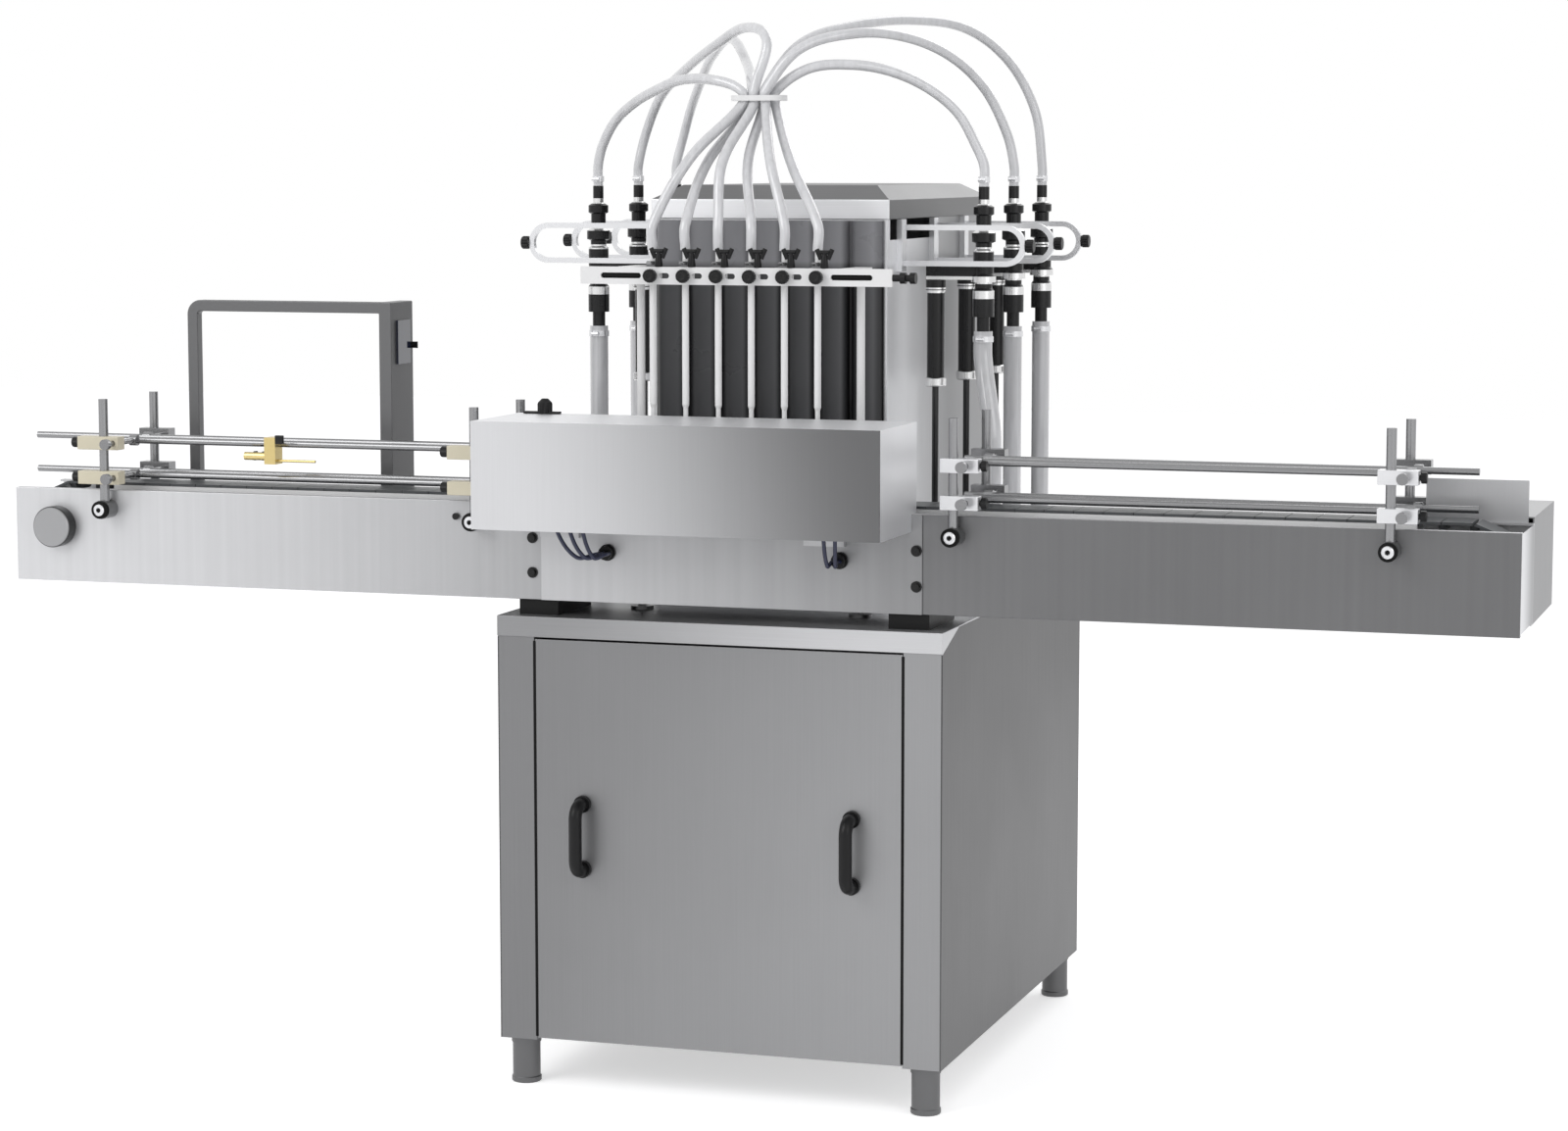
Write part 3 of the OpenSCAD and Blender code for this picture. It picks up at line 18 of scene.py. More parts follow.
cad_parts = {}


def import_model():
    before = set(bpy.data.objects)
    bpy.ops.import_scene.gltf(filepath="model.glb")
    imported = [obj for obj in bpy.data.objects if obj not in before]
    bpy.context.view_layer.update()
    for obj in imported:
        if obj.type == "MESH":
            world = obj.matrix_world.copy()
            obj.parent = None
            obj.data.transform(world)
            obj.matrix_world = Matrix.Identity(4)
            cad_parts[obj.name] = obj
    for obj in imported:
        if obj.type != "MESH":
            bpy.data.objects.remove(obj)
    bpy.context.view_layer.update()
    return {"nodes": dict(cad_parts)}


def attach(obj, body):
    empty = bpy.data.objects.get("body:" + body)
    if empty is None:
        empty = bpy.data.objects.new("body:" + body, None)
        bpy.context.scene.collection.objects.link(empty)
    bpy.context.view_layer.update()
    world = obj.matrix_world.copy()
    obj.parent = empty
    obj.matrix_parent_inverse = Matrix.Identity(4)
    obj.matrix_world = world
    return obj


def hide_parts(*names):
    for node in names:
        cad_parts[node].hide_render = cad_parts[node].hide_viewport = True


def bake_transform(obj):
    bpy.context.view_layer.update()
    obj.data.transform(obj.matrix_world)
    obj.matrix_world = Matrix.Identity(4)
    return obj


LOG = logging.getLogger("filling_machine")
Point = tuple[float, float, float]
Colour = tuple[float, float, float]
Pair = tuple[float, float]
Steps = Sequence[Pair]
Value = float | Sequence[float] | NodeSocket
Inputs = dict[str | int, Value]
MM = 0.001
MERGE_DISTANCE = 0.00001
CURVE_STEPS = 10
GROOVE_SHARE, RIM_SHARE = 0.92, 0.93
SMOOTH_ANGLE, FLUTED_ANGLE, HOSE_ANGLE = 35, 25, 50


class Axis(Enum):
    """A direction along which a round piece is turned."""

    X = (0.0, math.radians(90), 0.0)
    X_BACK = (0.0, math.radians(-90), 0.0)
    Y_OUT = (math.radians(90), 0.0, 0.0)
    Z = (0.0, 0.0, 0.0)


class Grain(Enum):
    """The way brushing runs on sheet metal, as noise scales along X, Y and Z."""

    ALONG_X = (6.0, 700.0, 700.0)
    ALONG_Z = (700.0, 700.0, 6.0)
    CAST = (260.0, 260.0, 260.0)
    FINE = (1500.0, 1500.0, 1500.0)
    BANDS = (85.0, 85.0, 1.2)
    RUNS = (150.0, 150.0, 5.0)


@dataclass(frozen=True)
class Datums:
    """Places in the row frame, in metres, as the CAD source has them."""

    plate_y: float = -0.330
    lane_y: float = -0.255
    belt_z: float = 0.860
    bar_y: float = -0.278
    bar_mid_z: float = 1.1885
    nozzle_x: tuple[float, ...] = (-0.126, -0.076, -0.026, 0.024, 0.074, 0.124)
    nozzle_pitch: float = 0.05
    bar_z: float = 1.176
    head_dx: float = -0.005
    valve_x: float = 0.304
    row_y: tuple[float, ...] = (0.007, 0.185, 0.363)
    valve_low_z: float = 1.102
    ring_y: float = -0.130


DATUMS = Datums()
BAR_SHIFTS = [(DATUMS.nozzle_pitch * k, 0, 0) for k in range(1, len(DATUMS.nozzle_x))]


def deselect() -> None:
    """Clears the selection, so that the next operator acts on new work alone."""
    if bpy.context.mode != "OBJECT":
        bpy.ops.object.mode_set(mode="OBJECT")
    bpy.ops.object.select_all(action="DESELECT")


def activate(obj: Piece) -> None:
    """Makes one object the only selected and active one.

    Args:
        obj: the object.
    """
    deselect()
    obj.select_set(True)
    bpy.context.view_layer.objects.active = obj


def settle(obj: Piece, name: str) -> Piece:
    """Names a piece and moves its place into its mesh.

    Args:
        obj: the piece, in place.
        name: its final name.

    Returns:
        The same piece, with its object at the origin.
    """
    activate(obj)
    bpy.ops.object.transform_apply(location=True, rotation=True, scale=True)
    obj.name = name
    obj.data.name = name
    return obj


def smooth(obj: Piece, degrees: float = SMOOTH_ANGLE) -> Piece:
    """Shades a piece smooth, with its edges above an angle kept sharp.

    Args:
        obj: the piece.
        degrees: the angle from which an edge stays sharp.

    Returns:
        The same piece.
    """
    activate(obj)
    bpy.ops.object.shade_smooth_by_angle(angle=math.radians(degrees))
    return obj


def lathe(steps: Steps, sides: int) -> Piece:
    """Draws a round solid up from a disc, and leaves it in edit mode.

    Args:
        steps: (height from the first face, radius) pairs, in metres; the first has height 0.
        sides: faces round it.

    Returns:
        The closed solid, standing on the origin along Z.
    """
    deselect()
    bpy.ops.mesh.primitive_circle_add(vertices=sides, radius=steps[0][1], fill_type="NGON")
    obj = bpy.context.object
    bpy.ops.object.mode_set(mode="EDIT")
    bpy.ops.mesh.select_all(action="SELECT")
    height, radius = 0.0, steps[0][1]
    for next_height, next_radius in steps[1:]:
        bpy.ops.mesh.extrude_region_move(
            TRANSFORM_OT_translate={"value": (0, 0, next_height - height)}
        )
        share = next_radius / radius
        bpy.ops.transform.resize(value=(share, share, 1), center_override=(0, 0, next_height))
        height, radius = next_height, next_radius
    bpy.ops.mesh.select_all(action="SELECT")
    bpy.ops.mesh.normals_make_consistent(inside=False)
    return obj


def cut_flutes(obj: Piece, rim: float, sides: int) -> None:
    """Draws every second corner beyond a radius inwards, as grooves along the piece.

    Args:
        obj: the solid that lathe left in edit mode.
        rim: the radius beyond which the grooves run.
        sides: faces round it.
    """
    bpy.ops.mesh.select_mode(type="VERT")
    bpy.ops.mesh.select_all(action="DESELECT")
    bpy.ops.object.mode_set(mode="OBJECT")
    for vertex in obj.data.vertices:
        around = round(math.atan2(vertex.co.y, vertex.co.x) / (2 * math.pi) * sides)
        vertex.select = bool(around % 2) and math.hypot(vertex.co.x, vertex.co.y) > rim
    bpy.ops.object.mode_set(mode="EDIT")
    bpy.ops.transform.resize(value=(GROOVE_SHARE, GROOVE_SHARE, 1), center_override=(0, 0, 0))


def turned(
    name: str, start: Point, steps: Steps, axis: Axis, sides: int, fluted: bool = False
) -> Piece:
    """Turns a round piece on a lathe.

    Args:
        name: the piece's name.
        start: the middle of its first face.
        steps: (height, radius) pairs, as for lathe.
        axis: the way the piece points.
        sides: faces round it.
        fluted: whether its widest band has grooves along its length.

    Returns:
        The closed, smooth-shaded piece.
    """
    obj = lathe(steps, sides)
    if fluted:
        cut_flutes(obj, max(r for _, r in steps) * RIM_SHARE, sides)
    bpy.ops.object.mode_set(mode="OBJECT")
    obj.rotation_euler = axis.value
    obj.location = start
    return smooth(settle(obj, name), FLUTED_ANGLE if fluted else SMOOTH_ANGLE)


def bevelled_box(name: str, low: Point, size: Point, bevel: float, segments: int) -> Piece:
    """A box with rounded edges.

    Args:
        name: the piece's name.
        low: its lowest corner.
        size: its width, depth and height.
        bevel: the width of its rounded edges.
        segments: faces across each rounded edge.

    Returns:
        The closed box.
    """
    deselect()
    middle = [a + b / 2 for a, b in zip(low, size)]
    bpy.ops.mesh.primitive_cube_add(size=1, location=middle, scale=size)
    obj = settle(bpy.context.object, name)
    bpy.ops.object.mode_set(mode="EDIT")
    bpy.ops.mesh.select_all(action="SELECT")
    bpy.ops.mesh.bevel(offset=bevel, segments=segments)
    bpy.ops.object.mode_set(mode="OBJECT")
    return smooth(obj)


def joined(name: str, parts: Sequence[Piece]) -> Piece:
    """Joins pieces into one mesh.

    Args:
        name: the joined piece's name.
        parts: the pieces; the first takes in the others.

    Returns:
        The joined piece.
    """
    deselect()
    for part in parts:
        part.select_set(True)
    bpy.context.view_layer.objects.active = parts[0]
    if len(parts) > 1:
        bpy.ops.object.join()
    obj = bpy.context.object
    obj.name = name
    obj.data.name = name
    return obj


def swept(name: str, path: Sequence[Point], radius: float, sides: int = 5) -> Piece:
    """Sweeps a round tube along a smooth curve through points.

    Args:
        name: the piece's name.
        path: the points that the curve goes through, in metres.
        radius: the tube's radius.
        sides: bevel resolution; the tube has four faces for each, and four more.

    Returns:
        The tube as a closed mesh.
    """
    deselect()
    data = bpy.data.curves.new(name, "CURVE")
    data.dimensions = "3D"
    spline = data.splines.new("BEZIER")
    spline.bezier_points.add(len(path) - 1)
    for i, (bezier, point) in enumerate(zip(spline.bezier_points, path)):
        here = Vector(point)
        before, after = Vector(path[max(i - 1, 0)]), Vector(path[min(i + 1, len(path) - 1)])
        run = (after - before).normalized()
        bezier.co = here
        bezier.handle_left = here - run * (here - before).length / 3
        bezier.handle_right = here + run * (after - here).length / 3
    data.bevel_depth = radius
    data.bevel_resolution = sides
    data.resolution_u = CURVE_STEPS
    data.use_fill_caps = True
    obj = bpy.data.objects.new(name, data)
    bpy.context.scene.collection.objects.link(obj)
    activate(obj)
    bpy.ops.object.convert(target="MESH")
    obj = bpy.context.object
    bpy.ops.object.mode_set(mode="EDIT")
    bpy.ops.mesh.select_all(action="SELECT")
    bpy.ops.mesh.remove_doubles(threshold=MERGE_DISTANCE)
    bpy.ops.mesh.normals_make_consistent(inside=False)
    bpy.ops.object.mode_set(mode="OBJECT")
    return smooth(obj, HOSE_ANGLE)


def centreline(path: Sequence[Point], steps: int = 8) -> list[Point]:
    """The points that a swept tube's middle follows.

    Args:
        path: the points that the tube was swept through.
        steps: points for each stretch between two of them.

    Returns:
        Points along the whole tube, in metres.
    """
    knots = [Vector(p) for p in path]
    last = len(knots) - 1
    runs = [(knots[min(i + 1, last)] - knots[max(i - 1, 0)]).normalized() for i in range(last + 1)]
    line = [knots[0]]
    for i in range(last):
        here, there = knots[i], knots[i + 1]
        reach = (there - here).length / 3
        handles = here + runs[i] * reach, there - runs[i + 1] * reach
        line += interpolate_bezier(here, *handles, there, steps + 1)[1:]
    return [tuple(p) for p in line]


MIX_A, MIX_B, MIX_OUT = 6, 7, 2
VECTOR, TONE, NUMBER = "NodeSocketVector", "NodeSocketColor", "NodeSocketFloat"
SURFACE_OUTPUTS = {"Color": TONE, "Roughness": NUMBER, "Height": NUMBER}
FINE_BUMP = 0.0002
COARSE_BUMP = 0.0003


def colour(tone: float, tint: Colour = (1, 1, 1)) -> tuple[float, ...]:
    """A grey tone with a tint, as a colour socket takes it."""
    return (*[tone * t for t in tint], 1)


@dataclass(frozen=True)
class Graph:
    """One shader tree, to which nodes are added."""

    tree: NodeTree

    def feed(self, node: Node, inputs: Inputs) -> None:
        """Sets inputs of a node, or links them where a socket is given.

        Args:
            node: the node.
            inputs: a value or a socket for each input, by name or number.
        """
        for key, value in inputs.items():
            if isinstance(value, NodeSocket):
                self.tree.links.new(value, node.inputs[key])
            else:
                node.inputs[key].default_value = value

    def add(self, kind: str, inputs: Inputs, **settings: object) -> Node:
        """Adds a node, makes its settings and feeds it.

        Args:
            kind: its type, without the leading ShaderNode.
            inputs: a value or a socket for each input, by name or number.
            **settings: its properties.

        Returns:
            The node.
        """
        node = self.tree.nodes.new(f"ShaderNode{kind}")
        for key, value in settings.items():
            setattr(node, key, value)
        self.feed(node, inputs)
        return node

    def calc(self, operation: str, *inputs: Value) -> NodeSocket:
        """The result of a sum on numbers or sockets."""
        return self.add("Math", dict(enumerate(inputs)), operation=operation).outputs[0]

    def mix(self, share: Value, first: Value, second: Value, blend: str = "MIX") -> NodeSocket:
        """A colour between two, by a share."""
        inputs = {"Factor": share, MIX_A: first, MIX_B: second}
        return self.add("Mix", inputs, data_type="RGBA", blend_type=blend).outputs[MIX_OUT]

    def place(self) -> NodeSocket:
        """The place on the piece, in its own coordinates."""
        return self.add("TexCoord", {}).outputs["Object"]

    def dress(self, shader: Node, effect: Node, strength: float, height: float) -> None:
        """Joins a group's colour, roughness and height to the shader.

        Args:
            shader: the material's shader.
            effect: the group's node, which puts out the three.
            strength: the bump's strength.
            height: the bump's height, in metres.
        """
        bump = self.add(
            "Bump", {"Strength": strength, "Distance": height, "Height": effect.outputs["Height"]}
        )
        self.feed(shader, {
            "Base Color": effect.outputs["Color"],
            "Roughness": effect.outputs["Roughness"],
            "Normal": bump.outputs["Normal"],
        })


def new_group(name: str, inputs: dict[str, str]) -> tuple[Graph, NodeOutputs, Node]:
    """Makes a shader group that puts out a colour, a roughness and a height.

    Args:
        name: the group's name.
        inputs: the socket type of each input.

    Returns:
        The group's graph, the sockets that bring its inputs in, and its output node.
    """
    group = bpy.data.node_groups.new(name, "ShaderNodeTree")
    for label, kind in inputs.items():
        group.interface.new_socket(name=label, in_out="INPUT", socket_type=kind)
    for label, kind in SURFACE_OUTPUTS.items():
        group.interface.new_socket(name=label, in_out="OUTPUT", socket_type=kind)
    source, sink = group.nodes.new("NodeGroupInput"), group.nodes.new("NodeGroupOutput")
    return Graph(group), source.outputs, sink


def brushed_group() -> NodeTree:
    """Stretched grain with clouds, a painted reflection and shade along one way, and a painted side
    tone.

    Returns:
        The group's tree.
    """
    graph, given, sink = new_group("BrushedGrain", {
        "Vector": VECTOR, "Stretch": VECTOR, "Light": TONE, "Dark": TONE, "Painted Far Tone": TONE,
        "Light Fade Axis": VECTOR, "Light Fade Start": NUMBER, "Light Fade End": NUMBER,
        "Painted Side Tone": TONE, "Painted Side Tone Start": NUMBER, "Painted Side Tone End": NUMBER,
        "Rough Low": NUMBER, "Rough High": NUMBER,
    })
    cloud_share, grain_share = 0.45, 0.55
    place = given["Vector"]
    stretch = graph.add("VectorMath", {0: place, 1: given["Stretch"]}, operation="MULTIPLY")
    grain = graph.add("TexNoise", {"Scale": 1.0, "Detail": 3.0, "Vector": stretch.outputs[0]})
    clouds = graph.add("TexNoise", {"Scale": 5.0, "Detail": 4.0, "Vector": place})
    fine = graph.calc("MULTIPLY", grain.outputs["Fac"], grain_share)
    blend = graph.calc("MULTIPLY_ADD", clouds.outputs["Fac"], cloud_share, fine)
    # Painted reflection and shade: the tone grades from the light tone to the far tone along the
    # axis.
    along = graph.add("VectorMath", {0: place, 1: given["Light Fade Axis"]}, operation="DOT_PRODUCT")
    light_fade = graph.add("MapRange", {
        "Value": along.outputs["Value"],
        "From Min": given["Light Fade Start"],
        "From Max": given["Light Fade End"],
    }, interpolation_type="SMOOTHSTEP")
    light_faded = graph.mix(light_fade.outputs[0], given["Light"], given["Painted Far Tone"])
    # Painted side tone: faces behind the front face, along Y, take another tone, a painted
    # highlight on some finishes and painted shade on others.
    depth = graph.add("SeparateXYZ", {0: place}).outputs["Y"]
    behind = graph.add(
        "MapRange", {"Value": depth, "From Min": given["Painted Side Tone Start"], "From Max": given["Painted Side Tone End"]}
    )
    painted_side_mix = graph.mix(behind.outputs[0], light_faded, given["Painted Side Tone"])
    rough = graph.add(
        "MapRange", {"Value": blend, "To Min": given["Rough Low"], "To Max": given["Rough High"]}
    )
    graph.feed(sink, {
        "Color": graph.mix(blend, painted_side_mix, given["Dark"], "MULTIPLY"),
        "Roughness": rough.outputs[0],
        "Height": grain.outputs["Fac"],
    })
    return graph.tree


def moulded_group() -> NodeTree:
    """Fine moulded pebble with faint dust: colour, roughness and height.

    Returns:
        The group's tree.
    """
    graph, given, sink = new_group("MouldedSurface", {
        "Vector": VECTOR, "Base": TONE, "Dust": TONE, "Dust Share": NUMBER,
        "Rough Low": NUMBER, "Rough High": NUMBER,
    })
    pebble = graph.add("TexNoise", {"Scale": 900.0, "Vector": given["Vector"]})
    clouds = graph.add("TexNoise", {"Scale": 14.0, "Detail": 5.0, "Vector": given["Vector"]})
    share = graph.calc("MULTIPLY", clouds.outputs["Fac"], given["Dust Share"])
    rough = graph.add("MapRange", {
        "Value": clouds.outputs["Fac"], "To Min": given["Rough Low"], "To Max": given["Rough High"],
    })
    graph.feed(sink, {
        "Color": graph.mix(share, given["Base"], given["Dust"]),
        "Roughness": rough.outputs[0],
        "Height": pebble.outputs["Fac"],
    })
    return graph.tree


def blank_material(name: str) -> tuple[Material, Graph, Node]:
    """A new material with its graph and its shader.

    Args:
        name: the material's name.

    Returns:
        The material, its graph and its shader node.
    """
    material = bpy.data.materials.new(name)
    material.use_nodes = True
    return material, Graph(material.node_tree), material.node_tree.nodes["Principled BSDF"]


@dataclass(frozen=True)
class SteelFinish:
    """Brushed or polished metal, with a painted reflection and shade that grades its tone from the
    light tone to the far tone along one way.
    """

    name: str
    light: float
    streak: float = 0.78
    grain: Grain = Grain.ALONG_X
    rough: Pair = (0.34, 0.48)
    metallic: float = 0.75
    bump: float = 0.04
    # Painted reflection and shade: the tone at the far end of the gradient, then the gradient's
    # axis and span.
    painted_far_tone: float | None = None
    light_fade: tuple[Point, float, float] = ((0.0, 0.0, 0.0), 0.0, 1.0)
    tint: Colour = (0.985, 0.99, 1.01)
    # Painted side tone behind the front face, with where along Y it starts and ends: lighter than
    # the front is painted highlight, darker is painted shade.
    rim: tuple[float, ...] = (0.5, 10.0, 11.0)
    specular: float = 0.5
    coat: float = 0.0

    def build(self, group: NodeTree) -> Material:
        """Makes the material from the shared brushed group.

        Args:
            group: the shared brushed group.

        Returns:
            The material.
        """
        material, graph, shader = blank_material(self.name)
        light_fade_axis, light_fade_start, light_fade_end = self.light_fade
        painted_side_tone, painted_side_start, painted_side_end = self.rim
        effect = graph.add("Group", {
            "Vector": graph.place(),
            "Stretch": self.grain.value,
            "Light": colour(self.light, self.tint),
            "Painted Far Tone": colour(self.light if self.painted_far_tone is None else self.painted_far_tone, self.tint),
            "Dark": colour(self.streak),
            "Light Fade Axis": light_fade_axis,
            "Light Fade Start": light_fade_start,
            "Light Fade End": light_fade_end,
            "Painted Side Tone": colour(painted_side_tone, self.tint),
            "Painted Side Tone Start": painted_side_start,
            "Painted Side Tone End": painted_side_end,
            "Rough Low": self.rough[0],
            "Rough High": self.rough[1],
        }, node_tree=group)
        graph.dress(shader, effect, self.bump, FINE_BUMP)
        graph.feed(shader, {
            "Metallic": self.metallic,
            "Specular IOR Level": self.specular,
            "Coat Weight": self.coat,
        })
        return material


@dataclass(frozen=True)
class BandedFinish:
    """Turned black bodies with polished bands at given heights."""

    name: str
    bands: tuple[Pair, ...]
    dark: float = 0.006
    bright: float = 0.72

    def build(self, group: NodeTree) -> Material:
        """Makes the material, its bands cut by the height on the piece.

        Args:
            group: the shared moulded group.

        Returns:
            The material.
        """
        material, graph, shader = blank_material(self.name)
        place = graph.place()
        effect = graph.add("Group", {
            "Vector": place,
            "Base": colour(self.dark, (1, 1, 1.1)),
            "Dust": colour(0.05),
            "Dust Share": 0.1,
            "Rough Low": 0.2,
            "Rough High": 0.3,
        }, node_tree=group)
        height = graph.add("SeparateXYZ", {0: place}).outputs["Z"]
        insides = [
            graph.calc("COMPARE", height, (low + high) / 2, (high - low) / 2)
            for low, high in self.bands
        ]
        total = insides[0]
        for inside in insides[1:]:
            total = graph.calc("MAXIMUM", total, inside)
        graph.feed(shader, {
            "Base Color": graph.mix(total, effect.outputs["Color"], colour(self.bright)),
            "Metallic": total,
            "Roughness": effect.outputs["Roughness"],
            "Specular IOR Level": 0.3,
        })
        return material


@dataclass(frozen=True)
class FluteFinish:
    """Dark polished flutes with a painted highlight across each, and a painted reflection that
    makes all lighter above the bar.
    """

    name: str
    start: float = -0.182
    pitch: float = 0.354 / 7
    dark: Colour = (0.006, 0.006, 0.007)
    # Painted highlight tone in the middle of each flute.
    light: Colour = (0.085, 0.086, 0.09)
    # Painted reflection added to every flute above the bar.
    painted_upper_reflection: Colour = (0.16, 0.16, 0.168)
    ramp: tuple[float, ...] = (0.12, 0.78, 0.96)
    bar_top: float = 1.2
    blur: float = 0.006

    def build(self, group: NodeTree) -> Material:
        """Makes the material: a painted highlight across each flute, cut by the place across the
        guard, and a painted reflection cut by height.

        Args:
            group: the shared moulded group.

        Returns:
            The material.
        """
        material, graph, shader = blank_material(self.name)
        place = graph.place()
        split = graph.add("SeparateXYZ", {0: place}).outputs
        flutes = graph.add("MapRange", {
            "Value": split["X"], "From Min": self.start, "From Max": self.start + self.pitch,
        }, clamp=False)
        # Painted highlight: each flute grades from dark to the highlight tone and back.
        across = graph.add("ValToRGB", {"Fac": graph.calc("FRACT", flutes.outputs[0])})
        stops = across.color_ramp.elements
        for stop, position, shade in zip(stops, self.ramp, (self.dark, self.light)):
            stop.position = position
            stop.color = (*shade, 1)
        stops.new(self.ramp[-1]).color = (*self.dark, 1)
        # Painted reflection: all flutes grow lighter above the bar.
        above = graph.add("MapRange", {
            "Value": split["Z"],
            "From Min": self.bar_top - self.blur,
            "From Max": self.bar_top + self.blur,
        })
        effect = graph.add("Group", {
            "Vector": place,
            "Base": graph.mix(above.outputs[0], across.outputs[0], (*self.painted_upper_reflection, 1), "ADD"),
            "Dust": colour(0.1),
            "Dust Share": 0.06,
            "Rough Low": 0.24,
            "Rough High": 0.34,
        }, node_tree=group)
        graph.feed(shader, {"Specular IOR Level": 0.25})
        graph.dress(shader, effect, 0.01, FINE_BUMP)
        return material


@dataclass(frozen=True)
class PlasticFinish:
    """Moulded or extruded plastic, rubber or paint."""

    name: str
    base: Colour
    dust: Colour
    dust_share: float = 0.15
    rough: Pair = (0.3, 0.45)
    coat: float = 0.0
    bump: float = 0.03
    specular: float = 0.5

    def build(self, group: NodeTree) -> Material:
        """Makes the material from the shared moulded group.

        Args:
            group: the shared moulded group.

        Returns:
            The material.
        """
        material, graph, shader = blank_material(self.name)
        effect = graph.add("Group", {
            "Vector": graph.place(),
            "Base": (*self.base, 1),
            "Dust": (*self.dust, 1),
            "Dust Share": self.dust_share,
            "Rough Low": self.rough[0],
            "Rough High": self.rough[1],
        }, node_tree=group)
        graph.dress(shader, effect, self.bump, COARSE_BUMP)
        graph.feed(shader, {"Coat Weight": self.coat, "Specular IOR Level": self.specular})
        return material


